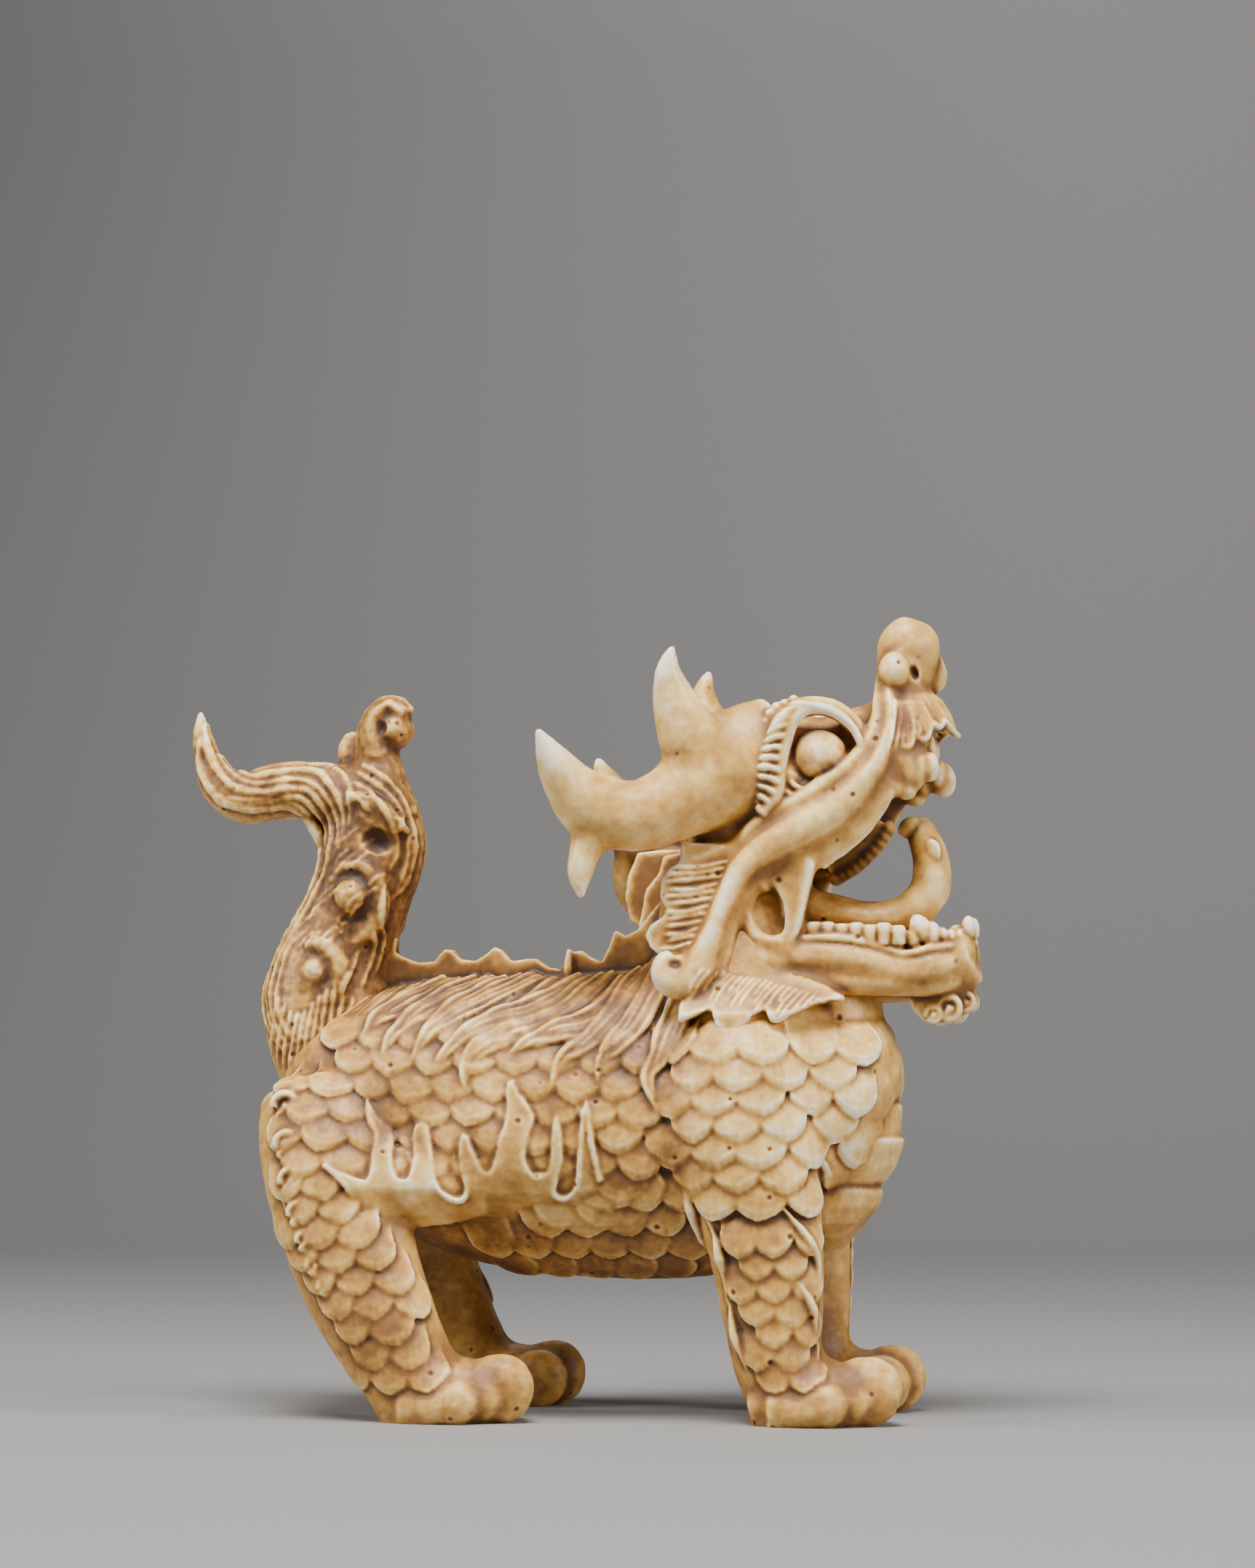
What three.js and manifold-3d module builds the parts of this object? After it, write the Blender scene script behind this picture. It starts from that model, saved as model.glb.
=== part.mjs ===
// A small cast guardian beast, half lion and half dragon, standing on four paws with its mouth
// open. Head towards +X, spine over y = 0, soles on z = 0, all sizes in millimetres. It is one
// solid: every limb, horn, curl and fringe below is a closed form joined to the body.

import * as THREE from "three";
import { mergeVertices } from "three/addons/utils/BufferGeometryUtils.js";
import Module from "manifold-3d";

const wasm = await Module();
wasm.setup();

// Overall sizes that the rest is measured against.
const SOLE = 0;
const CENTRE_SHIFT = 1.2;
const OVERALL_REACH = 120;
const HIND_TRACK = 15;
const FRONT_TRACK = 12;
const HAIR_PER_SIDE = 6;
const CURLS_PER_LEG = 7;
const MOLARS_PER_SIDE = 6;
const PALATE_RIBS = 4;

// Stations along a form: x, y, z of the centre, half depth in the side view, half width across.
const TORSO = [
  [-37.5, 0, 40, 5.5, 7.5],
  [-34, 0, 40, 10.5, 11],
  [-28, 0, 39.3, 14.5, 13.5],
  [-20, 0, 38.2, 16.8, 14.8],
  [-10, 0, 36.6, 18.6, 15.4],
  [2, 0, 36, 19.4, 15.6],
  [14, 0, 36.6, 19.8, 15.6],
  [24, 0, 38, 18.2, 15],
  [31.5, 0, 38.3, 14.6, 13],
  [36.3, 0, 37, 10.4, 9.6],
  [38.8, 0, 36.2, 5.4, 5.2],
];
const NECK = [
  [22, 0, 46, 14, 13.5],
  [20.5, 0, 54, 11.8, 12.2],
  [19.5, 0, 60, 10.6, 10.8],
  [19.6, 0, 66, 9.6, 9.8],
  [21, 0, 73, 8.5, 9],
];
const HIND_LEG = [
  [-30, 8, 39.5, 8.8, 6],
  [-29.8, 10.5, 34.5, 9.2, 6.6],
  [-28.9, 12, 29, 8.9, 6.8],
  [-27.6, 13, 23.5, 8.3, 6.4],
  [-25.6, 14, 17.8, 7.8, 5.8],
  [-22.6, 14.8, 12, 7.1, 5.4],
  [-19.6, 15, 7, 6.3, 5.4],
  [-17, 15, 2.5, 6.2, 5.6],
  [-16.2, 15, -2, 6, 5.4],
];
const FRONT_LEG = [
  [21.4, 8, 50.5, 5, 5.2],
  [21.3, 10.3, 43.5, 8.8, 6.6],
  [21.8, 11.2, 37, 9.6, 6.9],
  [23, 11.8, 29.5, 8.6, 6.1],
  [24.6, 12, 21.5, 7.6, 5.5],
  [25.4, 12, 14, 6.6, 5.1],
  [26, 12, 8, 5.7, 5],
  [28.6, 12, 3, 6.2, 5.2],
  [29, 12, -2, 6.2, 5.1],
];
const FLANK_LOBE = { centre: [-9, 8.2, 33.6], radii: [15.5, 8.3, 9.6] };
const TAIL_STEM = [
  [-33.5, 0, 41.5, 6, 8],
  [-34, 0, 46.5, 7.6, 8],
  [-33.9, 0, 52, 8.6, 7.4],
  [-32.3, 0, 58.5, 7.7, 6.6],
  [-29.6, 0, 64.8, 7, 6],
  [-28, 0, 70.5, 7.2, 5.7],
  [-27.2, 0, 75.5, 6.2, 5.2],
  [-27, 0, 80.5, 3.8, 4.2],
  [-26.6, 0, 85, 3.7, 3.7],
  [-26.2, 0, 88.6, 2.6, 3],
];
const TAIL_PRONG = [
  [-28.5, 0, 77, 4.8, 4.6],
  [-34.5, 0, 78.8, 4.1, 4.2],
  [-40, 0, 79.1, 4, 3.8],
  [-44.8, 0, 78.2, 3.7, 3.5],
  [-48.2, 0, 79.8, 2.9, 2.9],
  [-50, 0, 83.2, 2, 2.1],
  [-51, 0, 87, 1.3, 1.4],
  [-51, 0, 90, 0.4, 0.4],
];

// The head: stations again, for the near side where there is a pair.
const SKULL = [
  [17, 0, 72, 6, 7.5],
  [21.5, 0, 76, 8.6, 9.4],
  [27, 0, 79.5, 8.4, 9.8],
  [32, 0, 80.8, 6.8, 8.2],
  [37, 0, 83.2, 6, 6.4],
  [41.5, 0, 85.2, 5, 5.4],
  [44.6, 0, 86.2, 3.2, 4.4],
];
const NOSE = [
  [38.5, 0, 84, 4.4, 4.8],
  [39.8, 0, 88, 3.4, 4],
  [41, 0, 92, 3.6, 4],
  [41.5, 0, 95.6, 3.9, 4.1],
  [41.7, 0, 98.6, 1.9, 2.4],
];
const FANG = [
  [42.6, 4.6, 82, 2, 1.4],
  [44.2, 4.8, 79.8, 1.5, 1.2],
  [44.9, 4.8, 77.6, 0.5, 0.5],
];
const LOWER_JAW = [
  [21, 0, 57, 5.2, 9.4],
  [28, 0, 55.8, 5, 8.6],
  [34, 0, 55.6, 3.9, 7.4],
  [40, 0, 56.3, 3.8, 6.6],
  [45.6, 0, 56.6, 4.2, 6],
  [48.6, 0, 57.6, 3.2, 4.6],
];
const JAW_RIM = [[27, 8, 58], [35, 6.9, 58.4], [41, 6.2, 57.6], [46, 5, 58.6], [49, 2, 59.2]];
const TONGUE = [
  [26, 0, 63.6, 3, 4.4],
  [31, 0, 62.4, 2.4, 4],
  [36, 0, 61.4, 2.2, 3.6],
  [40.6, 0, 61.9, 2.3, 3.5],
  [43.9, 0, 64.8, 2.4, 3.3],
  [44.2, 0, 68.6, 2.3, 3],
  [42.9, 0, 72.3, 1.6, 2.3],
  [42.3, 0, 73.8, 0.6, 1],
];
const HORN_STEM = [
  [25.5, 5, 82, 7.6, 5.4],
  [19.8, 7.8, 80.2, 6.9, 5.4],
  [13.2, 10.3, 75.8, 4.9, 4.5],
  [8.3, 12, 74, 4.4, 4.1],
  [3.6, 13.6, 75.3, 4.3, 3.8],
  [0.9, 15.3, 78, 3.2, 3],
  [-1, 17.2, 81.4, 1.9, 1.9],
  [-2.3, 18.8, 84.6, 0.4, 0.4],
];
const UPPER_TINE = [
  [17.5, 9.4, 80.5, 5.2, 4.2],
  [14.9, 10.8, 84.8, 3.9, 3.4],
  [13.5, 11.8, 88.6, 2.7, 2.6],
  [13, 12.8, 91.8, 1.7, 1.8],
  [13.7, 13.5, 95.2, 0.4, 0.4],
];
const LOWER_TINE = [
  [4.6, 13.4, 73.5, 3.2, 3],
  [2.9, 14, 70, 2.1, 2],
  [2.3, 14.7, 66.6, 1.6, 1.6],
  [2.5, 15, 63.4, 0.4, 0.4],
];
const BROW = [
  [25.2, 9.4, 73.6, 1.5, 2],
  [26.2, 10.2, 78, 2.1, 2.2],
  [27.2, 10.2, 82.6, 2.5, 2.4],
  [28.9, 9.3, 86, 2.2, 2.4],
  [31.8, 8.4, 87.3, 1.9, 2.2],
  [34.6, 7.2, 86, 1.5, 1.8],
  [36.4, 6, 84.3, 0.9, 1],
];
const EYE = { centre: [30.8, 8, 81.8], radii: [3.2, 2.9, 3.2] };
const RIBBON = [
  [39.8, 4.2, 90.5, 1.3, 1.4],
  [39, 5.2, 86, 1.6, 1.6],
  [38, 6.6, 82.2, 1.7, 1.7],
  [35.8, 7.7, 78.3, 1.7, 1.8],
  [32.6, 8.8, 74.8, 1.8, 1.8],
  [28.5, 9.8, 71.8, 1.8, 1.8],
  [24.8, 10.6, 69.4, 1.8, 1.8],
  [22.5, 11.2, 66.5, 1.7, 1.8],
  [21.1, 11.6, 63.5, 1.7, 1.8],
  [20, 12.1, 60, 1.6, 1.8],
  [18.7, 12.6, 57.1, 1.6, 1.8],
];
const SCROLL = { centre: [14.8, 12.8, 55.3], radius: 2.6, tube: 1.25, button: 1.3 };
const TUSK = [
  [28.9, 7.9, 69.6, 1.4, 1.3],
  [28.7, 8.6, 66, 1.4, 1.2],
  [28.3, 8.9, 61.5, 1.2, 1.1],
  [27, 9, 57.1, 0.35, 0.35],
];
const CHEEK_PIT = { centre: [24.6, 11.4, 62.4], radii: [1.8, 3.4, 2.7] };

// Flat, cut-out forms in the side view: x and z of their corners.
const MANE_FRINGE = [
  [13.8, 71], [20, 70.5], [20.5, 66], [18.3, 58], [15.5, 57], [12, 56.4], [10.2, 58.8],
  [9.8, 60.6], [11.6, 61.6], [12.1, 63], [11.3, 65], [11.9, 67], [13.6, 68],
];
const BEARD_FRINGE = [
  [15.6, 54.5], [16.6, 48.3], [20.3, 49.8], [22.4, 46.8], [27, 50.4], [28.6, 48], [32.4, 50.2],
  [35.5, 51.6], [33, 54.5], [24, 56.5],
];
const SPINE_CREST = [
  [-25, 52], [-24, 56.3], [-20, 57], [-17.5, 58.5], [-15, 57], [-11.5, 58.6], [-9, 56.8],
  [-6.2, 57], [-3.2, 55.8], [-2, 58.4], [-0.4, 57.4], [2.2, 56.8], [3.9, 60.6], [6.5, 60.8],
  [9.5, 64], [12, 66], [14, 52],
];
const LIP_FAN = [
  [39, 88.5], [43.6, 90], [46, 88.2], [47.6, 86.2], [47.3, 84.4], [46.2, 82.6], [47, 80],
  [45.6, 77.6], [42.6, 74.8], [41, 77.4], [38, 79],
];

// A closed form through the stations: elliptical rings square to a smooth centre line.
function loft(stations, sides = 12, stepsEach = 1) {
  const centres = new THREE.CatmullRomCurve3(stations.map(([x, y, z]) => new THREE.Vector3(x, y, z)));
  const sizes = new THREE.CatmullRomCurve3(stations.map(([, , , deep, wide]) => new THREE.Vector3(deep, wide, 0)));
  const steps = (stations.length - 1) * stepsEach;
  const positions = [];
  const across = new THREE.Vector3();
  const up = new THREE.Vector3();
  for (let i = 0; i <= steps; i += 1) {
    const centre = centres.getPoint(i / steps);
    const size = sizes.getPoint(i / steps);
    const along = centres.getTangent(i / steps);
    across.set(0, 1, 0).addScaledVector(along, -along.y).normalize();
    up.crossVectors(along, across);
    for (let j = 0; j < sides; j += 1) {
      const angle = (2 * Math.PI * j) / sides;
      const point = centre.clone();
      point.addScaledVector(across, Math.cos(angle) * Math.max(size.y, 0.2));
      point.addScaledVector(up, Math.sin(angle) * Math.max(size.x, 0.2));
      positions.push(...point.toArray());
    }
  }
  const last = steps * sides;
  positions.push(...centres.getPoint(0).toArray(), ...centres.getPoint(1).toArray());
  const startPole = last + sides;
  const index = [];
  for (let j = 0; j < sides; j += 1) {
    const next = (j + 1) % sides;
    for (let row = 0; row < last; row += sides) {
      index.push(row + j, row + sides + j, row + next);
      index.push(row + next, row + sides + j, row + sides + next);
    }
    index.push(startPole, j, next);
    index.push(startPole + 1, last + next, last + j);
  }
  const geometry = new THREE.BufferGeometry();
  geometry.setAttribute("position", new THREE.Float32BufferAttribute(positions, 3));
  geometry.setIndex(index.map((_, k) => index[k - (k % 3) + [0, 2, 1][k % 3]]));
  return geometry;
}

// An ellipsoid, tilted in the side view by an angle in degrees.
function ball([x, y, z], [rx, ry, rz], tilt = 0, sides = 10) {
  const geometry = new THREE.SphereGeometry(1, sides, Math.round(sides * 0.6));
  geometry.scale(rx, ry, rz);
  geometry.rotateY(THREE.MathUtils.degToRad(-tilt));
  geometry.translate(x, y, z);
  return geometry;
}

// A flat plate with its outline in the side view, from y = low to y = high.
function plate(corners, low, high) {
  const outline = new THREE.Shape(corners.map(([x, z]) => new THREE.Vector2(x, z)));
  const geometry = new THREE.ExtrudeGeometry(outline, { depth: high - low, bevelEnabled: false });
  geometry.rotateX(Math.PI / 2);
  geometry.translate(0, high, 0);
  return geometry;
}

// A rod of one thickness along a list of points.
function rod(points, radius, sides = 5, stepsEach = 1) {
  return loft(points.map((point) => [...point, radius, radius]), sides, stepsEach);
}

// A solid that can be joined and cut, from any closed geometry.
function solid(geometry) {
  geometry.deleteAttribute("normal");
  geometry.deleteAttribute("uv");
  const merged = mergeVertices(geometry, 1e-4);
  return new wasm.Manifold(new wasm.Mesh({
    numProp: 3,
    vertProperties: new Float32Array(merged.attributes.position.array),
    triVerts: new Uint32Array(merged.index.array),
  }));
}

// The stations of one side, and the forms of both sides.
const sided = (stations, side) => stations.map(([x, y, z, ...rest]) => [x, y * side, z, ...rest]);
const bothSides = (build) => [build(-1), build(1)].flat();

// Half width of the body's flank at a place in the side view, measured on the torso's rings.
function flankHalfWidth(x, z) {
  const after = Math.max(1, TORSO.findIndex((station) => station[0] >= x));
  const [a, b] = [TORSO[after - 1], TORSO[after]];
  const share = (x - a[0]) / (b[0] - a[0]);
  const [, , centre, deep, wide] = a.map((value, k) => value + (b[k] - value) * share);
  const rise = Math.min(0.98, Math.abs(z - centre) / deep);
  const torso = wide * Math.sqrt(1 - rise * rise);
  const [cx, cy, cz] = FLANK_LOBE.centre;
  const [rx, ry, rz] = FLANK_LOBE.radii;
  const inside = 1 - ((x - cx) / rx) ** 2 - ((z - cz) / rz) ** 2;
  return Math.max(torso, inside > 0 ? cy + ry * Math.sqrt(inside) : 0);
}

function body() {
  return [
    loft(TORSO, 16),
    loft(NECK, 12),
    ...bothSides((side) => ball(sided([FLANK_LOBE.centre], side)[0], FLANK_LOBE.radii, 0, 10)),
    plate(SPINE_CREST, -1.1, 1.1),
  ];
}

// Broad plates one under the other down the front of the chest.
function chestPlates() {
  const heights = [45.5, 40.8, 35.9, 31, 26.6];
  const fronts = [33.6, 34.8, 35.2, 34.4, 31.8];
  return heights.map((z, k) => ball([fronts[k], 0, z], [4.2, 8.2 - 0.5 * k, 3], -8 * k, 8));
}

// A paw: a low instep and three toes, the middle one foremost and highest.
function paw(heel, track, side) {
  const toes = [
    { ahead: 5.6, out: 3.9, radii: [4.6, 2.3, 3.2], height: 2 },
    { ahead: 10.6, out: 0.4, radii: [4.9, 2.8, 4], height: 4 },
    { ahead: 9.6, out: -3.6, radii: [4.2, 2.2, 3.5], height: 3 },
  ];
  const instep = ball([heel + 4, track * side, 2.6], [7, 4.8, 3.9], 0, 8);
  return [instep, ...toes.map(({ ahead, out, radii, height }) => (
    ball([heel + ahead, (track + out) * side, height], radii, 0, 6)
  ))];
}

// Curls in a row down the back edge of a hind leg, smaller towards the heel.
function legCurls(side) {
  const top = new THREE.Vector3(-37.2, 10.5, 38);
  const bottom = new THREE.Vector3(-30.6, 16.5, 15.6);
  const bulge = new THREE.Vector3(-35.8, 14.5, 27);
  const line = new THREE.QuadraticBezierCurve3(top, bulge, bottom);
  const curls = [];
  for (let k = 0; k < CURLS_PER_LEG; k += 1) {
    const place = line.getPoint(k / (CURLS_PER_LEG - 1));
    const radius = 1.7 - 0.11 * k;
    curls.push(ball([place.x, place.y * side, place.z], [radius, radius * 0.8, radius], 0, 6));
  }
  return curls;
}

function legs(side) {
  return [
    loft(sided(HIND_LEG, side), 12),
    loft(sided(FRONT_LEG, side), 12),
    ...paw(-18, HIND_TRACK, side),
    ...paw(26.6, FRONT_TRACK, side),
    ...legCurls(side),
  ];
}

// Locks of mane laid over the back: each leaves the crest and sweeps down and to the rear.
function hair(side) {
  const locks = [];
  for (let k = 0; k < HAIR_PER_SIDE; k += 1) {
    const share = k / (HAIR_PER_SIDE - 1);
    const start = THREE.MathUtils.lerp(-19, 11, share);
    const sweep = THREE.MathUtils.lerp(7.5, 1, share * share);
    const drop = THREE.MathUtils.lerp(9, 17, share * share);
    const points = [0, 0.5, 1].map((part) => {
      const x = start - sweep * part;
      const z = 53.5 - drop * part;
      return [x, (flankHalfWidth(x, z) - 0.1 * part) * side, z, 0.9 - 0.55 * part, 1 - 0.5 * part];
    });
    locks.push(loft(points, 4));
  }
  return locks;
}

// A curl that stands off a surface as a rounded knob.
function curl([x, y, z], radius, side) {
  return ball([x, y * side, z], [radius, radius, 1.15 * radius], 15, 6);
}

function tail() {
  return [
    loft(TAIL_STEM, 10),
    loft(TAIL_PRONG, 8),
    ball([-24.9, 0, 86.9], [2.3, 4.4, 2.3], 0, 8),
    ball([-30.8, 2.6, 84], [2, 2.2, 2.8], 0, 8),
    ...bothSides((side) => [
      curl([-28.2, 4.8, 64.8], 2.9, side),
      curl([-33.3, 5.6, 56.4], 2.5, side),
      curl([-24.8, 4.2, 74.2], 2.6, side),
    ]),
  ];
}

function horns(side) {
  return [HORN_STEM, UPPER_TINE, LOWER_TINE].map((stations) => loft(sided(stations, side), 8));
}

// The eye in its socket under the brow, with a row of lobes behind the brow.
function eyes(side) {
  const lobes = [];
  for (let k = 0; k < 4; k += 1) {
    const height = 76.4 + 3.3 * k;
    const back = 23.6 + 0.28 * k * k;
    lobes.push(ball([back, 9.6 * side, height], [1.5, 1.4, 1.9], 20, 5));
  }
  return [
    ball(sided([EYE.centre], side)[0], EYE.radii, 0, 10),
    loft(sided(BROW, side), 6),
    ...lobes,
  ];
}

// The long band from the nostril down the cheek, ending in a scroll.
function ribbon(side) {
  const [x, y, z] = SCROLL.centre;
  const turns = [0.15, -0.2, -0.55, -0.9, -1.25, -1.6, -1.9];
  const scroll = turns.map((turn) => [
    x + SCROLL.radius * Math.cos(Math.PI * turn),
    y,
    z + SCROLL.radius * Math.sin(Math.PI * turn),
    SCROLL.tube,
    SCROLL.tube * 1.3,
  ]);
  const button = ball([x, y * side, z], [SCROLL.button, 1.8, SCROLL.button], 0, 6);
  return [loft(sided([...RIBBON, ...scroll], side), 6), button];
}

function nose() {
  return [
    loft(NOSE, 10),
    plate(LIP_FAN, -4.6, 4.6),
    ...bothSides((side) => [
      ball([40.4, 3.4 * side, 92.3], [2.2, 2, 2.1], 0, 6),
      ball([44.2, 4.6 * side, 85.6], [2.6, 1.5, 2.2], -30, 6),
      loft(sided(FANG, side), 5),
    ]),
  ];
}

// A row of blunt teeth as one comb: its outline rises and falls once for each tooth.
function toothComb(from, to, count, root, crown, low, high) {
  const pitch = (to - from) / count;
  const corners = [[from, root]];
  for (let k = 0; k < count; k += 1) {
    corners.push([from + pitch * (k + 0.1), crown - 1.1]);
    corners.push([from + pitch * (k + 0.35), crown]);
    corners.push([from + pitch * (k + 0.8), crown]);
  }
  corners.push([to, root]);
  return plate(corners, low, high);
}

// Teeth stand on the rim of the lower jaw: a row of molars, a canine and blunt front teeth.
function lowerTeeth(side) {
  const [low, high] = side < 0 ? [-7, -4.6] : [4.6, 7];
  return [
    toothComb(28.6, 41.4, MOLARS_PER_SIDE, 57.4, 61.4, low, high),
    ball([43.6, 5 * side, 60.2], [1.3, 1.2, 2.8], 0, 5),
    ball([47.4, 3 * side, 60.4], [1.6, 1.8, 2.1], 0, 6),
  ];
}

// The lower jaw with its raised rim, its teeth, and the beard of three curls under the chin.
function lowerJaw() {
  return [
    loft(LOWER_JAW, 12),
    ball([48, 0, 60.6], [1.6, 3.6, 1.8], 0, 6),
    ball([44.8, 0, 51.4], [2.4, 4, 2.6], 0, 8),
    ...bothSides((side) => [
      rod(sided(JAW_RIM, side), 1.3, 5),
      ...lowerTeeth(side),
      ball([46.8, 2.6 * side, 52], [1.7, 1.5, 1.9], 0, 6),
    ]),
  ];
}

// Ribs across the roof of the open mouth.
function palate() {
  const ribs = [];
  for (let k = 0; k < PALATE_RIBS; k += 1) {
    const share = k / (PALATE_RIBS - 1);
    const x = THREE.MathUtils.lerp(31, 40.5, share);
    const z = THREE.MathUtils.lerp(72.6, 78.6, share);
    ribs.push(ball([x, 0, z], [0.8, 4.6 - share, 1.4], 0, 6));
  }
  return ribs;
}

function head() {
  return [
    loft(SKULL, 14),
    ...nose(),
    ...lowerJaw(),
    ...palate(),
    loft(TONGUE, 8),
    ...bothSides((side) => [
      ...horns(side),
      ...eyes(side),
      ...ribbon(side),
      loft(sided(TUSK, side), 6),
      plate(MANE_FRINGE, ...(side < 0 ? [-12, -7] : [7, 12])),
      plate(BEARD_FRINGE, ...(side < 0 ? [-13.6, -8] : [8, 13.6])),
    ]),
  ];
}

// Everything joined, the cheeks hollowed, and the soles cut flat.
function statue() {
  const forms = [
    ...body(),
    ...chestPlates(),
    ...bothSides((side) => [...legs(side), ...hair(side)]),
    ...tail(),
    ...head(),
  ];
  let joined = forms.map(solid).reduce((whole, piece) => whole.add(piece));
  for (const side of [-1, 1]) {
    joined = joined.subtract(solid(ball(sided([CHEEK_PIT.centre], side)[0], CHEEK_PIT.radii, 0, 10)));
  }
  const ground = new THREE.BoxGeometry(2 * OVERALL_REACH, OVERALL_REACH, OVERALL_REACH);
  ground.translate(0, 0, SOLE - OVERALL_REACH / 2);
  return joined.subtract(solid(ground));
}

function toGeometry(manifold) {
  const { vertProperties, triVerts } = manifold.getMesh();
  const geometry = new THREE.BufferGeometry();
  geometry.setAttribute("position", new THREE.Float32BufferAttribute(vertProperties, 3));
  geometry.setIndex(new THREE.Uint32BufferAttribute(triVerts, 1));
  geometry.computeVertexNormals();
  return geometry;
}

const castResin = new THREE.MeshStandardMaterial({ color: 0xe0c79b, roughness: 0.45, metalness: 0 });
const lion = new THREE.Mesh(toGeometry(statue()), castResin);
lion.name = "lion_statue";
lion.position.x = CENTRE_SHIFT;

const figure = new THREE.Group();
figure.add(lion);

export default figure;
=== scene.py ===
import math

import bpy
import numpy as np
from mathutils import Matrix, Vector
from mathutils.bvhtree import BVHTree


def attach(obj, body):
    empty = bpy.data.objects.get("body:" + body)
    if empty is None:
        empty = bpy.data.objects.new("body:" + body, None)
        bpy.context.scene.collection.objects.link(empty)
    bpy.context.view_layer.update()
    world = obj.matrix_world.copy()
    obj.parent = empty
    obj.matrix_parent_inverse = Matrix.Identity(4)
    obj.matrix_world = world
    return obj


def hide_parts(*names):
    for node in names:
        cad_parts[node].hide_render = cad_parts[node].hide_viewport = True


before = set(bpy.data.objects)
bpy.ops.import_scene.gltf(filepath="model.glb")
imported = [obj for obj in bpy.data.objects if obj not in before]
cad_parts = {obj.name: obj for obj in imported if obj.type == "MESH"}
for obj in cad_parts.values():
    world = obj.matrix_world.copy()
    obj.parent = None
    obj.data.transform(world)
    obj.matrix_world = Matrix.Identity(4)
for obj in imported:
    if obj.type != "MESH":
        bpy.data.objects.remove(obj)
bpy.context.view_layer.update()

# The trunk, neck and limbs: the soft clay form under the carving, in the same casting as the
# rest. Oval sections follow each limb's centre line, and a voxel skin melts them together.
# Sizes are in millimetres: x, y, z of a section's centre, half depth, half width.
MM = 0.001
# The frame's origin lies this far behind the one that the sizes here are given from.
CAD_SHIFT = 1.2
# The grid of the skin, the rounds that soften it, and the steps and rounds that fill its creases.
FORM_VOXEL = 0.5
FORM_SOFTENING = 7
CREASE_STEPS = 10
CREASE_ROUNDS = 2
# No section is thinner than this, and a bead's poles stay open by this angle until a face shuts them.
LEAST_RADIUS = 0.12
POLE_ANGLE = 0.04

TRUNK = [
    (-37.5, 0, 40, 5.2, 7.2), (-34, 0, 40, 10, 10.6), (-28, 0, 39.3, 14, 13.1),
    (-20, 0, 38.2, 16.4, 14.4), (-10, 0, 36.6, 18.2, 15), (2, 0, 36, 19, 15.2),
    (14, 0, 36.6, 19.4, 15.2), (24, 0, 38, 17.8, 14.6), (31.5, 0, 38.3, 14.1, 12.5),
    (36.3, 0, 37, 9.9, 9.1), (38.5, 0, 36.2, 5, 4.8),
]
NECK = [
    (22, 0, 46, 13.6, 13.1), (20.5, 0, 54, 11.4, 11.6), (19.5, 0, 60, 10.3, 10), (19.6, 0, 66, 9.3, 9),
]
HIND_LEG = [
    (-30.8, 8, 39.5, 9.2, 5.9), (-30.2, 10.5, 34.5, 9.3, 6.5), (-29.1, 12, 29, 9, 6.7),
    (-27.6, 13, 23.5, 8.3, 6.3), (-25.5, 14, 17.8, 7.8, 5.7), (-22.6, 14.8, 12, 7.1, 5.4),
    (-19.6, 15, 7, 6.2, 5.2), (-17, 15, 2.5, 6, 5.3), (-16.2, 15, -1.5, 5.8, 5.1),
]
FRONT_LEG = [
    (21.4, 8, 50.5, 4.8, 4.8), (21.3, 10.3, 43.5, 8.4, 6.1), (21.8, 11.2, 37, 9.2, 6.4),
    (23.2, 11.8, 29.5, 8.1, 5.7), (24.8, 12, 21.5, 7.1, 5.2), (25.6, 12, 14, 6.3, 4.9),
    (26.2, 12, 8, 5.5, 4.8), (28.4, 12, 3, 6, 5), (28.8, 12, -1.5, 5.9, 4.9),
]
# Swellings on each side: the belly's, as a bead's centre and half sizes, the edge of the thigh and
# the ribs behind the shoulder.
FLANK = ((-9, 8.2, 33.6), (15.5, 8.1, 9.8))
THIGH_EDGE = [
    (-30, -13.6, 31, 4, 3), (-24, -14.2, 29.5, 5, 3), (-17, -13.6, 28.5, 5, 3), (-10, -12.4, 29, 4, 3),
]
RIBS = [(2, -9, 34, 8, 5.4), (7, -9.4, 34, 9, 5.4), (12, -9.8, 33, 9, 5.4)]


def smooth_path(stations, steps):
    """A Catmull-Rom curve through every row of numbers, steps to each span."""
    rows = np.array(stations, float)
    rows = np.vstack([2 * rows[0] - rows[1], rows, 2 * rows[-1] - rows[-2]])
    out = []
    for k in range(1, len(rows) - 2):
        a, b, c, d = rows[k - 1:k + 3]
        for t in np.arange(steps) / steps:
            out.append(0.5 * (2 * b + (c - a) * t + (2 * a - 5 * b + 4 * c - d) * t ** 2
                              + (3 * b - a - 3 * c + d) * t ** 3))
    out.append(rows[-2])
    return np.array(out)


def close_rings(rings):
    """A closed form through equal rings of points."""
    count, sides = rings.shape[:2]
    points = rings.reshape(-1, 3)
    faces = []
    for i in range(count - 1):
        for j in range(sides):
            n = (j + 1) % sides
            faces.append((i * sides + j, i * sides + n, (i + 1) * sides + n, (i + 1) * sides + j))
    faces.append(tuple(range(sides))[::-1])
    faces.append(tuple(range(len(points) - sides, len(points))))
    return points, faces


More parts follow.
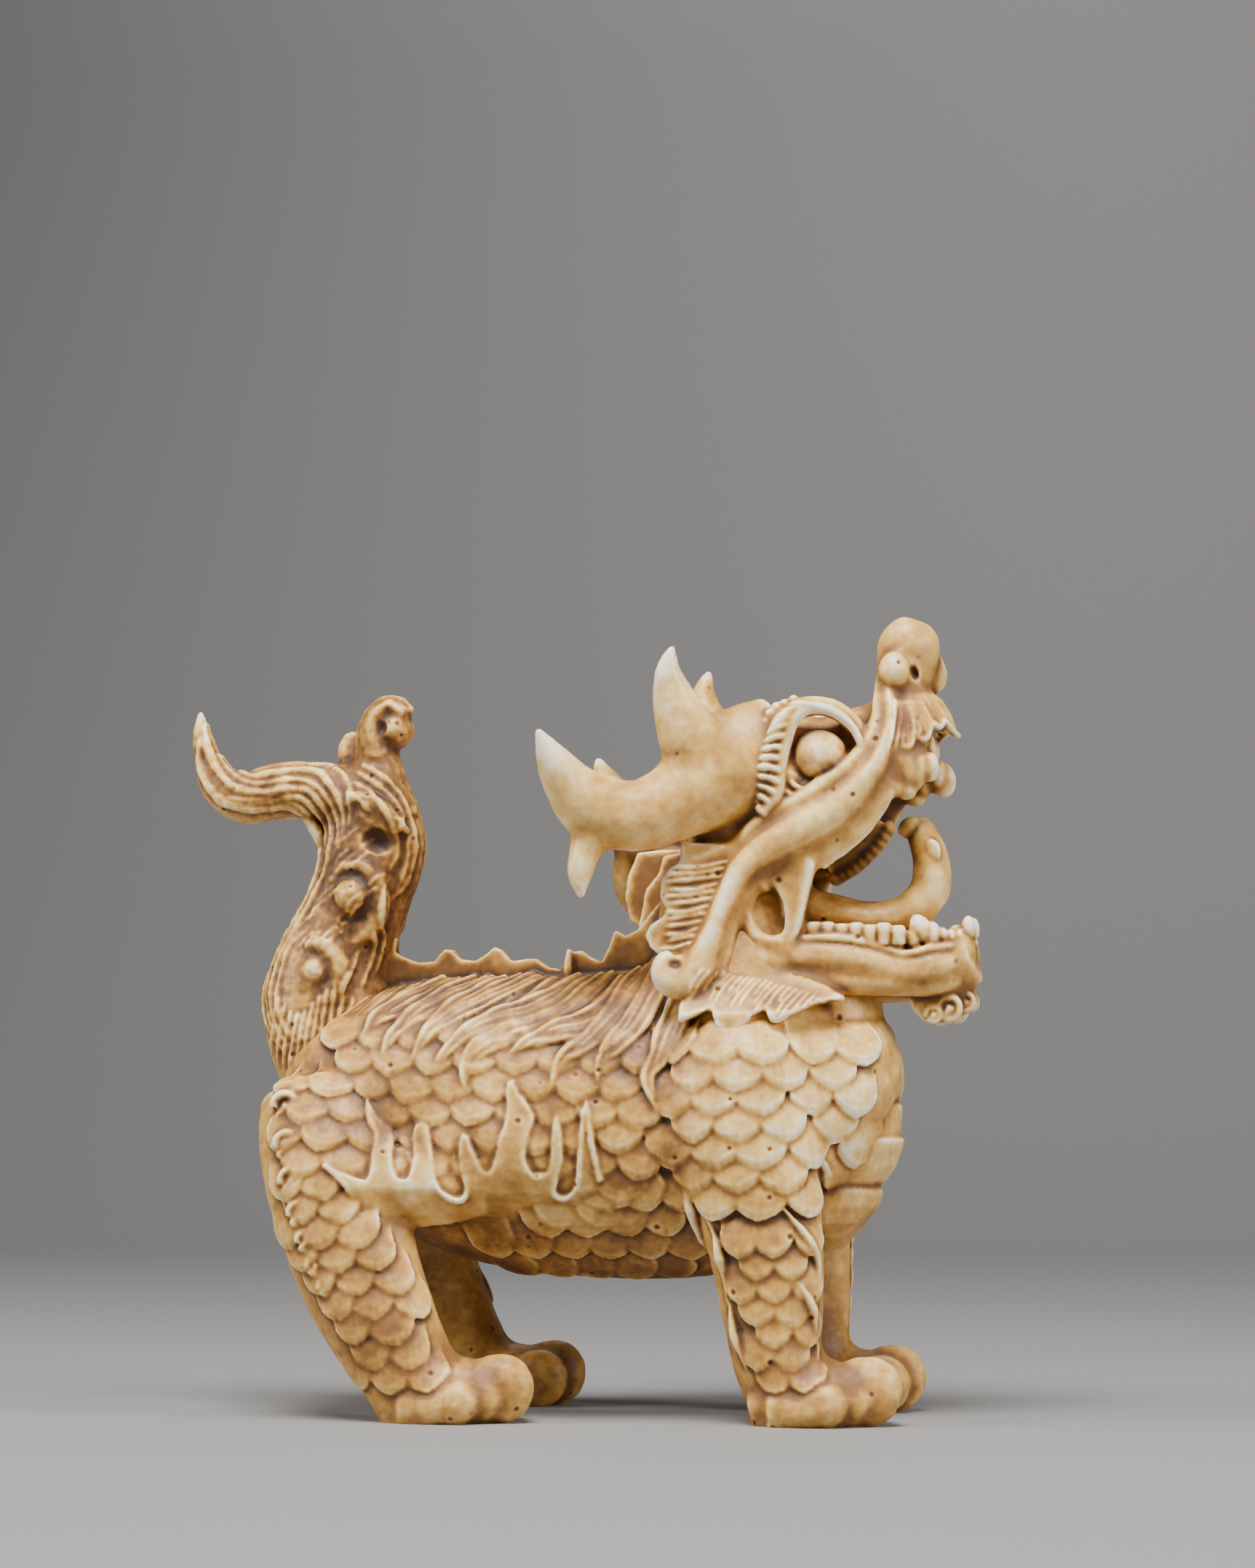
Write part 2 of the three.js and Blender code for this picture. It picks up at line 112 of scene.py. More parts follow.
def loft(stations, sides=28, steps=6):
    """A closed form: rings of half depth and half width, square to the centre line."""
    path = smooth_path(stations, steps)
    centre = path[:, :3]
    deep = np.maximum(path[:, 3], LEAST_RADIUS)
    wide = np.maximum(path[:, 4], LEAST_RADIUS)
    along = np.gradient(centre, axis=0)
    along /= np.linalg.norm(along, axis=1)[:, None]
    across = np.array([0, 1, 0]) - along * along[:, 1:2]
    across /= np.linalg.norm(across, axis=1)[:, None]
    up = np.cross(along, across)
    angle = np.arange(sides) * 2 * math.pi / sides
    sideways = across[:, None] * (np.cos(angle)[:, None] * wide[:, None, None])
    upwards = up[:, None] * (np.sin(angle)[:, None] * deep[:, None, None])
    return close_rings(centre[:, None] + sideways + upwards)


def bead(centre, radii, tilt=0, sides=24):
    """An ellipsoid, tilted in the side view by an angle in degrees."""
    u = np.arange(sides) * 2 * math.pi / sides
    v = np.linspace(math.pi - POLE_ANGLE, POLE_ANGLE, sides // 2)
    ball = np.stack([np.sin(v)[:, None] * np.cos(u), np.sin(v)[:, None] * np.sin(u),
                     np.cos(v)[:, None] * np.ones(sides)], axis=-1) * np.array(radii)
    turn = math.radians(tilt)
    x = ball[..., 0] * math.cos(turn) - ball[..., 2] * math.sin(turn)
    z = ball[..., 0] * math.sin(turn) + ball[..., 2] * math.cos(turn)
    return close_rings(np.stack([x, ball[..., 1], z], axis=-1) + np.array(centre, float))


def mirrored(shape):
    """The same form on the other side of the figure."""
    points, faces = shape
    return points * np.array([1, -1, 1]), [face[::-1] for face in faces]


def both(*shapes):
    """Each form, followed by its mirror image."""
    return [form for shape in shapes for form in (shape, mirrored(shape))]


def mesh_object(name, shells):
    """One object from a list of (points, faces)."""
    points, faces, start = [], [], 0
    for shell_points, shell_faces in shells:
        points.append(shell_points)
        faces.extend(tuple(i + start for i in face) for face in shell_faces)
        start += len(shell_points)
    mesh = bpy.data.meshes.new(name)
    mesh.from_pydata(np.vstack(points).tolist(), [], faces)
    piece = bpy.data.objects.new(name, mesh)
    bpy.context.scene.collection.objects.link(piece)
    return piece


def settle(piece):
    """Applies the modifiers that a piece carries."""
    graph = bpy.context.evaluated_depsgraph_get()
    done = bpy.data.meshes.new_from_object(piece.evaluated_get(graph))
    piece.modifiers.clear()
    piece.data = done
    return piece


def fuse(piece, voxel, softening):
    """Melts overlapping shells into one skin and softens its edges."""
    melt = piece.modifiers.new("melt", "REMESH")
    melt.mode = "VOXEL"
    melt.voxel_size = voxel
    soften = piece.modifiers.new("soften", "SMOOTH")
    soften.factor = 0.5
    soften.iterations = softening
    return settle(piece)


def tree_of(piece):
    """A search tree of a piece's surface."""
    return BVHTree.FromPolygons([v.co.copy() for v in piece.data.vertices],
                                [tuple(p.vertices) for p in piece.data.polygons])


def add(tree, kind, inputs=None, **settings):
    """Adds a node: settings are its properties, inputs its values or incoming links."""
    node = tree.nodes.new(kind)
    for name, value in settings.items():
        setattr(node, name, value)
    for name, value in (inputs or {}).items():
        socket = node.inputs[name]
        if isinstance(value, bpy.types.NodeSocket):
            tree.links.new(value, socket)
        else:
            socket.default_value = value
    return node


def node_tree(name, **sockets):
    """An empty geometry tree with a geometry, a material and further named inputs."""
    tree = bpy.data.node_groups.new(name, "GeometryNodeTree")
    for label, kind in {"Geometry": "Geometry", "Material": "Material", **sockets}.items():
        tree.interface.new_socket(label.replace("_", " "), in_out="INPUT",
                                  socket_type="NodeSocket" + kind)
    tree.interface.new_socket("Geometry", in_out="OUTPUT", socket_type="NodeSocketGeometry")
    return tree, add(tree, "NodeGroupInput").outputs


def close_tree(tree, geometry, material):
    """Ends a tree: instances are made real and the material is set."""
    real = add(tree, "GeometryNodeRealizeInstances", {"Geometry": geometry}).outputs[0]
    dressed = add(tree, "GeometryNodeSetMaterial", {"Geometry": real, "Material": material}).outputs[0]
    add(tree, "NodeGroupOutput", {"Geometry": dressed})


def run(piece, tree, **values):
    """Runs a node tree on a piece, its inputs set by their identifiers."""
    values["Material"] = resin
    modifier = piece.modifiers.new(tree.name, "NODES")
    modifier.node_group = tree
    for item in tree.interface.items_tree:
        label = item.name.replace(" ", "_")
        if item.item_type == "SOCKET" and item.in_out == "INPUT" and label in values:
            modifier[item.identifier] = values[label]
    return settle(piece)


# The material of the whole figure: solid cast resin, ivory-coloured and half glossy, with a
# brown wash that was brushed on and wiped off, so that it stays in the hollows. The eye gets
# cream edges, ochre hollows and dark brown cuts, clouded and mottled by an uneven hand, and
# painted shade under the belly, between the legs, in the mouth, in the inner mane and on the far
# horn, with a painted highlight on the near horn.
CLOUD_METRES = 0.014
MOTTLE_METRES = 0.0045
GRAIN_METRES = 0.0006
# The resin's colour by the share of wash on it, and of painted shade in some zones, from bare to thickest.
WASH_AND_SHADE_COLOURS = [
    (0.0, "#FFEED0"), (0.2, "#F1CB7C"), (0.42, "#CE9A48"), (0.66, "#8C5D27"), (1.0, "#482C14"),
]


def linear(colour):
    """An sRGB hex colour as the linear values that a shader takes."""
    parts = [int(colour[k:k + 2], 16) / 255 for k in (1, 3, 5)]
    return tuple(p / 12.92 if p <= 0.04045 else ((p + 0.055) / 1.055) ** 2.4 for p in parts) + (1,)


resin = bpy.data.materials.new("cast_resin_ivory_brown_wash")
resin.use_nodes = True
shader = resin.node_tree
surface = shader.nodes["Principled BSDF"]
place = add(shader, "ShaderNodeTexCoord").outputs["Object"]
fine, broad, stain_and_shade = [add(shader, "ShaderNodeAttribute", attribute_name=label).outputs["Fac"]
                      for label in ("fine_hollow", "broad_hollow", "stain_and_shade")]
mottle = add(shader, "ShaderNodeTexNoise",
             {"Vector": place, "Scale": 1 / MOTTLE_METRES, "Detail": 4, "Roughness": 0.6}).outputs["Fac"]
cloud = add(shader, "ShaderNodeTexNoise",
            {"Vector": place, "Scale": 1 / CLOUD_METRES, "Detail": 3, "Roughness": 0.55}).outputs["Fac"]
shares = []
for value, low, high, least, most in ((fine, -0.05, 0.06, -0.02, 0.56), (broad, -0.4, 0.45, -0.22, 0.38),
                                      (mottle, 0.25, 0.75, -0.12, 0.16), (cloud, 0.3, 0.7, 0.04, 0.32)):
    share = add(shader, "ShaderNodeMapRange",
                {"Value": value, "From Min": low, "From Max": high, "To Min": least, "To Max": most})
    shares.append(share.outputs["Result"])
wash_and_shade = shares[0]
# The zone values add real colour, painted shade and a painted highlight to the sum.
for share in shares[1:] + [stain_and_shade]:
    wash_and_shade = add(shader, "ShaderNodeMath", {0: wash_and_shade, 1: share}, operation="ADD").outputs[0]
tint = add(shader, "ShaderNodeValToRGB", {"Fac": wash_and_shade})
ramp = tint.color_ramp
for stop, (position, colour) in zip(ramp.elements, (WASH_AND_SHADE_COLOURS[0], WASH_AND_SHADE_COLOURS[-1])):
    stop.position = position
    stop.color = linear(colour)
for position, colour in WASH_AND_SHADE_COLOURS[1:-1]:
    ramp.elements.new(position).color = linear(colour)
sheen = add(shader, "ShaderNodeMapRange",
            {"Value": wash_and_shade, "From Min": 0.2, "From Max": 0.8, "To Min": 0.36, "To Max": 0.6})
grain = add(shader, "ShaderNodeTexNoise", {"Vector": place, "Scale": 1 / GRAIN_METRES, "Detail": 3})
bump = add(shader, "ShaderNodeBump",
           {"Height": grain.outputs["Fac"], "Strength": 0.25, "Distance": 0.05 * MM})
shader.links.new(tint.outputs["Color"], surface.inputs["Base Color"])
shader.links.new(sheen.outputs["Result"], surface.inputs["Roughness"])
shader.links.new(bump.outputs["Normal"], surface.inputs["Normal"])
surface.inputs["IOR"].default_value = 1.5
surface.inputs["Subsurface Weight"].default_value = 0.05
surface.inputs["Subsurface Radius"].default_value = (1.0, 0.6, 0.35)
surface.inputs["Subsurface Scale"].default_value = 0.9 * MM


def hollow_depth(tree, place, out_way, steps):
    """Nodes for a hollow's depth: how far outside a point the mean of its neighbours lies."""
    mean = add(tree, "GeometryNodeBlurAttribute", {"Value": place, "Iterations": steps},
               data_type="FLOAT_VECTOR").outputs[0]
    gap = add(tree, "ShaderNodeVectorMath", {0: mean, 1: place}, operation="SUBTRACT").outputs[0]
    depth = add(tree, "ShaderNodeVectorMath", {0: gap, 1: out_way}, operation="DOT_PRODUCT")
    return depth.outputs["Value"]


crease_tree, given = node_tree("fill_creases", Steps="Int")
place = add(crease_tree, "GeometryNodeInputPosition").outputs[0]
out_way = add(crease_tree, "GeometryNodeInputNormal").outputs[0]
depth = hollow_depth(crease_tree, place, out_way, given["Steps"])
rise = add(crease_tree, "ShaderNodeMath", {0: depth, 1: 0.0}, operation="MAXIMUM").outputs[0]
offset = add(crease_tree, "ShaderNodeVectorMath", {0: out_way, "Scale": rise}, operation="SCALE").outputs[0]
filled = add(crease_tree, "GeometryNodeSetPosition", {"Geometry": given["Geometry"], "Offset": offset})
close_tree(crease_tree, filled.outputs[0], given["Material"])


def fill_creases(piece, steps, rounds):
    """Rounds out the inner corners of a piece, as a thumb does in clay, and leaves its edges."""
    for _ in range(rounds):
        run(piece, crease_tree, Steps=steps)
    return piece


# The paws: a low instep and three rounded toes on each foot, modelled in clay with the legs and
# cast in one with them, so that trunk, limbs and paws share one skin. A paw's place is the x of
# its heel and its distance from the figure's middle.
HIND_PAW = (-18, 15)
FRONT_PAW = (26.6, 12)
# The instep by rows: ahead of the heel, z, half depth and half width.
INSTEP = [
    (-3.6, 2.2, 2.6, 3.6), (0, 2.6, 4, 5), (5, 3.4, 4.6, 5.2), (9.5, 2.8, 3.6, 4.6), (11, 2.4, 2.4, 4),
]
# Each toe: outwards from the paw's middle, reach from the heel, height of its joint, half width.
TOES = [(4, 8.2, 2.5, 2.3), (0.6, 13.6, 3.9, 2.6), (-3.2, 12.2, 3.4, 2.2)]


def paw(heel, track):
    """The instep and the toes of one paw."""
    parts = [loft([(heel + ahead, track, z, deep, wide) for ahead, z, deep, wide in INSTEP])]
    for out, reach, high, wide in TOES:
        y = track + out
        parts.append(loft([
            (heel - 1, y, 2, 2.6, wide * 0.7),
            (heel + 0.4 * reach, y, high * 0.75, high * 0.9, wide),
            (heel + 0.74 * reach, y, high, high + 0.5, wide * 1.1),
            (heel + 0.9 * reach, y, high * 0.98, high + 0.2, wide * 1.05),
            (heel + reach, y, high * 0.92, high * 0.78, wide * 0.85),
            (heel + 1.06 * reach, y, high * 0.88, high * 0.5, wide * 0.55),
            (heel + 1.085 * reach, y, high * 0.86, high * 0.15, wide * 0.2),
        ], 24, 8))
    return parts


form = [loft(TRUNK, 48), loft(NECK, 40)]
form += both(loft(HIND_LEG, 36), loft(FRONT_LEG, 36), bead(*FLANK, sides=40), *paw(*HIND_PAW),
             *paw(*FRONT_PAW), loft(THIGH_EDGE, 20), loft(RIBS, 20))
body_skin = fuse(mesh_object("body_skin", form), FORM_VOXEL, FORM_SOFTENING)
fill_creases(body_skin, CREASE_STEPS, CREASE_ROUNDS)
body_tree = tree_of(body_skin)

# The flames on the flank: a smooth sheet over the belly whose top edge licks up in tongues,
# with a raised rim. It was laid on the clay as a thin slab and is cast with the body.
# Its corners are x and z in the side view.
FLAME = [
    (-28.8, 31), (-27.3, 30), (-24.3, 28.8), (-23.5, 29.3), (-23, 31), (-23.1, 34), (-24.1, 36),
    (-24.6, 38.5), (-23.6, 36.7), (-22.1, 35.5), (-21.3, 34), (-21, 31), (-20.3, 29.5), (-19.3, 29),
    (-18.3, 29.5), (-17.9, 32), (-17.8, 35.2), (-17, 36), (-16.3, 35.3), (-16.1, 33), (-15.8, 30),
    (-14.8, 28), (-12.8, 27), (-11.5, 28), (-11.9, 31), (-11.6, 34.5), (-10.8, 33), (-9.8, 31),
    (-8.8, 30.3), (-7.9, 31), (-7, 34), (-6.3, 36.5), (-6.3, 40.8), (-5.3, 39.5), (-3.6, 37), (-4, 35),
    (-4.6, 32), (-3.8, 30.3), (-2.8, 30), (-1.6, 30.5), (-0.8, 32.5), (-0.3, 36.8), (0, 32), (-0.8, 29.5),
    (-1.1, 28.3), (-0.3, 27.5), (0.7, 27.5), (2.2, 29), (2.7, 33), (3.4, 38.5), (4, 34), (5, 29.5),
]
FLAME_FOOT = [
    (4.8, 28.4), (2.7, 26.3), (-1.4, 24.4), (-6.2, 23.4), (-12, 23), (-18, 23), (-23, 25), (-26, 28),
]
# A lower sheet joins the tongues at their feet.
FLAME_BED = [(-27.4, 29.6), (-24, 33), (2.6, 33), (4.4, 29.4)]
# Heights of both sheets over the skin, how deep they reach into it, and the side of their squares.
FLAME_LIFT = 1.25
BED_LIFT = 0.65
SHEET_UNDER = -0.9
SHEET_STEP = 0.3
# Lines across the figure start this far out.
FAR_OUT = 40


def skin_at(tree, x, z, side):
    """Point and normal where a line across the figure first meets a skin."""
    hit = tree.ray_cast(Vector((x, side * FAR_OUT, z)), Vector((0, -side, 0)))
    return hit[0], hit[1]


def inside(x, z, outline):
    """Whether a place in the side view lies in an outline."""
    hits = 0
    for (ax, az), (bx, bz) in zip(outline, outline[1:] + outline[:1]):
        if (az > z) != (bz > z) and x < (bx - ax) * (z - az) / (bz - az) + ax:
            hits += 1
    return hits % 2 == 1


def sheet(place, outline, side, step, top, under):
    """A sheet with an outline in the side view, laid over the surface that place() gives."""
    xs = np.arange(min(p[0] for p in outline), max(p[0] for p in outline) + step, step)
    zs = np.arange(min(p[1] for p in outline), max(p[1] for p in outline) + step, step)
    index, points = {}, []
    faces = []
    cells = [(i, k) for i in range(len(xs)) for k in range(len(zs))
             if inside(xs[i] + step / 2, zs[k] + step / 2, outline)]
    filled = set(cells)

    def corner(i, k, level):
        if (i, k, level) not in index:
            x, z = xs[0] + i * step, zs[0] + k * step
            point, out_way = place(x, z, side)
            index[(i, k, level)] = len(points)
            points.append(tuple(point + out_way * (top(x, z) if level else under)))
        return index[(i, k, level)]

    for i, k in cells:
        ring = [(i, k), (i + 1, k), (i + 1, k + 1), (i, k + 1)]
        faces.append([corner(a, b, 1) for a, b in ring][::-side])
        faces.append([corner(a, b, 0) for a, b in ring][::side])
        for (di, dk), (a, b) in zip(((0, -1), (1, 0), (0, 1), (-1, 0)), ((0, 1), (1, 2), (2, 3), (3, 0))):
            if (i + di, k + dk) not in filled:
                wall = [corner(*ring[a], 1), corner(*ring[b], 1), corner(*ring[b], 0), corner(*ring[a], 0)]
                faces.append(wall[::side])
    return np.array(points), faces


def flame_rise(x, z, lift):
    """A flame sheet's height over the skin: it sinks in along its foot and at its front end."""
    foot = min(1, max(0, 28.5 - z) / 4.5)
    front = min(1, max(0, x - 1.5) / 3.5)
    return lift - 1.2 * lift * foot - 0.5 * front


flames = []
for side in (-1, 1):
    for outline, lift in ((FLAME, FLAME_LIFT), (FLAME_BED, BED_LIFT)):
        flames.append(sheet(lambda x, z, side: skin_at(body_tree, x, z, side), outline + FLAME_FOOT, side,
                            SHEET_STEP, lambda x, z: flame_rise(x, z, lift), SHEET_UNDER))
flame_sheets = mesh_object("flame_sheets", flames)

# Scales: overlapping shields in staggered rows, each raised at its rounded free edge, as if
# pressed in the clay one by one. A node tree sets a shield on every seed point and bends it to
# the skin. The fields that they fill are outlines in the side view.
SCALE_LIFT = 1.05
FLANK_SCALES = [
    (-37, 42), (-31.5, 44), (-28.5, 49), (-24.5, 50.5), (-8, 48), (11, 46), (12.4, 36), (10, 26), (3, 24),
    (-3, 26), (-12, 26), (-24, 26), (-29, 31), (-36, 31),
]
SHOULDER_SCALES = [
    (11.4, 46), (13, 48.6), (37, 48.6), (38.4, 40), (38, 28), (33, 25.6), (16.8, 25.6), (12, 34),
]
SHANK_SCALES = [(16.8, 24.9), (33.2, 24.9), (31.6, 20), (31.2, 5.6), (24, 5.6), (22.8, 14), (20.8, 20)]
BELLY_SCALES = [(-12, 24.5), (-1, 25), (3, 27), (11, 31), (15, 29), (17, 17), (-8, 17)]
HIND_SCALES = [
    (-36, 32), (-29, 32), (-24, 27), (-20.5, 24), (-17.6, 19), (-15.4, 12), (-14, 5), (-24, 4.2),
    (-28.5, 12), (-33, 20),
]
# Each field: outline, pitch in a row, step between rows, slant of the free edges to the front for
# one unit down, and width and length of a scale.
SCALE_FIELDS = [
    (FLANK_SCALES, 5.2, 3.1, -0.15, 6.3, 5.6), (SHOULDER_SCALES, 5.4, 3.05, 0.05, 6.6, 5.6),
    (SHANK_SCALES, 3.9, 2.7, 0.08, 4.8, 4.6), (BELLY_SCALES, 4.9, 3.1, 0.1, 6, 5.3),
    (HIND_SCALES, 4.6, 2.9, 0.3, 5.6, 5.1),
]
# Below this height a scale is left out where the flames lie the margin below it, and above it the
# tongues of the flames cover scales.
BARE_UNDER_FLAMES = 30.5
FLAME_MARGIN = 2
# How far a scale's size and slant stray.
SIZE_SPREAD = 0.16
SLANT_SPREAD = 0.36


def attribute(piece, name, kind, values):
    """Stores one number or vector for each vertex of a piece."""
    layer = piece.data.attributes.new(name, kind, "POINT")
    field = "vector" if kind == "FLOAT_VECTOR" else "value"
    layer.data.foreach_set(field, np.array(values, np.float32).ravel())


def shield(columns=11, rows=8):
    """One scale on a flat ground: x across, y to the free edge, height kept as an attribute."""
    points, heights = [], []
    for t in np.linspace(0, 1, rows):
        for s in np.sin(np.linspace(-1, 1, columns) * math.pi / 2):
            reach = 0.33 * math.sqrt(max(0, 1 - s * s)) + 0.14 * (1 - abs(s))
            points.append((0.5 * s, -0.8 + t * (0.8 + reach), 0))
            heights.append((1 - 0.35 * s * s) * (-0.3 + 1.35 * (1 - (1 - t) ** 1.7)) - 0.22 * (t > 0.99))
    rim = list(range(columns)) + [i * columns + columns - 1 for i in range(1, rows)]
    rim += [(rows - 1) * columns + j for j in range(columns - 2, -1, -1)]
    rim += [i * columns for i in range(rows - 2, 0, -1)]
    top = len(points)
    faces = [(a, a + 1, a + columns + 1, a + columns)
             for a in range(top - columns) if a % columns < columns - 1]
    for k in rim:
        points.append((points[k][0] * 0.92, points[k][1] - 0.03, 0))
        heights.append(-0.9)
    count = len(rim)
    faces += [(rim[(k + 1) % count], rim[k], top + k, top + (k + 1) % count) for k in range(count)]
    faces.append(tuple(range(top, top + count))[::-1])
    piece = mesh_object("shield", [(np.array(points), faces)])
    attribute(piece, "height", "FLOAT", heights)
    return piece


def lay_on_skin(tree, geometry, skin, lift):
    """Nodes that move each point to the nearest place on a skin, and out from there by lift."""
    nearest = add(tree, "GeometryNodeProximity", {"Geometry": skin}, target_element="FACES")
    skin_normal = add(tree, "GeometryNodeInputNormal").outputs[0]
    normal = add(tree, "GeometryNodeSampleNearestSurface", {"Mesh": skin, "Value": skin_normal},
                 data_type="FLOAT_VECTOR").outputs["Value"]
    offset = add(tree, "ShaderNodeVectorMath", {0: normal, "Scale": lift}, operation="SCALE").outputs[0]
    laid = add(tree, "GeometryNodeSetPosition",
               {"Geometry": geometry, "Position": nearest.outputs["Position"], "Offset": offset})
    return laid.outputs[0]


scale_tree, given = node_tree("scales_on_skin", Skin="Object", Scale_Shape="Object", Scale_Lift="Float")
skin, shape = [add(scale_tree, "GeometryNodeObjectInfo", {"Object": given[label]}).outputs["Geometry"]
               for label in ("Skin", "Scale Shape")]
out_way, free_way, size = [
    add(scale_tree, "GeometryNodeInputNamedAttribute", {"Name": label},
        data_type="FLOAT_VECTOR").outputs["Attribute"] for label in ("out_way", "free_way", "size")]
height = add(scale_tree, "GeometryNodeInputNamedAttribute", {"Name": "height"}, data_type="FLOAT")
thick = add(scale_tree, "ShaderNodeSeparateXYZ", {"Vector": size}).outputs["Z"]
turn = add(scale_tree, "FunctionNodeAxesToRotation", {"Primary Axis": out_way, "Secondary Axis": free_way},
           primary_axis="Z", secondary_axis="Y").outputs[0]
spots = add(scale_tree, "GeometryNodeMeshToPoints", {"Mesh": given["Geometry"]}).outputs[0]
placed = add(scale_tree, "GeometryNodeInstanceOnPoints",
             {"Points": spots, "Instance": shape, "Rotation": turn, "Scale": size}).outputs[0]
real = add(scale_tree, "GeometryNodeRealizeInstances", {"Geometry": placed}).outputs[0]
lift = given["Scale Lift"]
for factor in (height.outputs["Attribute"], thick):
    lift = add(scale_tree, "ShaderNodeMath", {0: lift, 1: factor}, operation="MULTIPLY").outputs[0]
close_tree(scale_tree, lay_on_skin(scale_tree, real, skin, lift), given["Material"])

chance = np.random.default_rng(7)
seeds = []


def seed(place, free_way, wide, long, thick):
    """Notes one scale at a point of the skin."""
    point, out_way = place
    if point is None:
        return
    out_way = np.array(out_way)
    way = np.array(free_way, float)
    way -= out_way * way.dot(out_way)
    way /= max(np.linalg.norm(way), 1e-6)
    seeds.append((np.array(point), out_way, way, (wide, long, thick)))


def rows_in(outline, pitch, row, slant, wide, long):
    """Staggered rows of scales that fill an outline on both flanks, thinner towards the paws."""
    xs = [p[0] for p in outline]
    zs = [p[1] for p in outline]
    z = max(zs)
    count = 0
    while z > min(zs):
        x = min(xs) + (pitch / 2 if count % 2 else 0)
        while x < max(xs):
            bare = z < BARE_UNDER_FLAMES and inside(x, z - FLAME_MARGIN, FLAME + FLAME_FOOT)
            if inside(x, z, outline) and not bare:
                grow = 1 + SIZE_SPREAD * (chance.random() - 0.5)
                lean = SLANT_SPREAD * (chance.random() - 0.5)
                for side in (-1, 1):
                    thick = (0.9 + 0.2 * chance.random()) * min(1, 0.3 + 0.026 * z)
                    seed(skin_at(body_tree, x + lean, z + 0.4 * (grow - 1), side), (slant + lean, 0, -1),
                         wide * grow, long * grow, thick)
            x += pitch
        z -= row
        count += 1


for field in SCALE_FIELDS:
    rows_in(*field)
scales = mesh_object("scales", [(np.array([entry[0] for entry in seeds]), [])])
for k, label in ((1, "out_way"), (2, "free_way"), (3, "size")):
    attribute(scales, label, "FLOAT_VECTOR", [entry[k] for entry in seeds])
scale_shape = shield()
run(scales, scale_tree, Skin=body_skin, Scale_Shape=scale_shape, Scale_Lift=SCALE_LIFT)
bpy.data.objects.remove(scale_shape)

# Strands: hair, rims and ridges that follow lines over a skin, cut or laid on in the clay. A node
# tree snaps each line to the skin, lifts it and gives it a round section of its own thickness.
# A hand-cut line swells and thins by a share of its thickness.
HAND_WAVER = 0.16
STRAND_SIDES = 8

strand_tree, given = node_tree("strands_on_skin", Skin="Object", Section_Sides="Int")
skin = add(strand_tree, "GeometryNodeObjectInfo", {"Object": given["Skin"]}).outputs["Geometry"]
lift, thickness = [
    add(strand_tree, "GeometryNodeInputNamedAttribute", {"Name": label},
        data_type="FLOAT").outputs["Attribute"] for label in ("lift", "radius")]
laid = lay_on_skin(strand_tree, given["Geometry"], skin, lift)
curve = add(strand_tree, "GeometryNodeMeshToCurve", {"Mesh": laid}).outputs[0]
section = add(strand_tree, "GeometryNodeCurvePrimitiveCircle",
              {"Resolution": given["Section Sides"], "Radius": 1.0}).outputs[0]
tube = add(strand_tree, "GeometryNodeCurveToMesh",
           {"Curve": curve, "Profile Curve": section, "Scale": thickness, "Fill Caps": True}).outputs[0]
close_tree(strand_tree, tube, given["Material"])


def strand_on(tree, path, radius, side, lift=0.3, steps=5, taper=(0.5, 0.2), tip_lift=0.0, ramp=(6, 4)):
    """A line over a skin through places in the side view, uneven as if cut by hand."""
    line = smooth_path(path, steps)
    points = [skin_at(tree, x, z, side)[0] for x, z in line]
    share = np.linspace(0, 1, len(line))
    swell = np.minimum(1, np.minimum(taper[0] + share * ramp[0], taper[1] + (1 - share) * ramp[1]))
    swell *= 1 + HAND_WAVER * np.sin(1.1 * line[:, 0] + 0.9 * line[:, 1] + 7 * radius)
    keep = [k for k, point in enumerate(points) if point is not None]
    return ([tuple(points[k]) for k in keep], [radius * swell[k] for k in keep],
            [lift * radius * swell[k] + tip_lift * share[k] for k in keep])


def strands(name, lines, skin):
    """All the lines of one group as a mesh of strands."""
    points, edges, radii, lifts = [], [], [], []
    for line_points, line_radii, line_lifts in lines:
        start = len(points)
        points += line_points
        radii += line_radii
        lifts += line_lifts
        edges += [(k, k + 1) for k in range(start, len(points) - 1)]
    mesh = bpy.data.meshes.new(name)
    mesh.from_pydata(points, edges, [])
    piece = bpy.data.objects.new(name, mesh)
    bpy.context.scene.collection.objects.link(piece)
    attribute(piece, "radius", "FLOAT", radii)
    attribute(piece, "lift", "FLOAT", lifts)
    return run(piece, strand_tree, Skin=skin, Section_Sides=STRAND_SIDES)


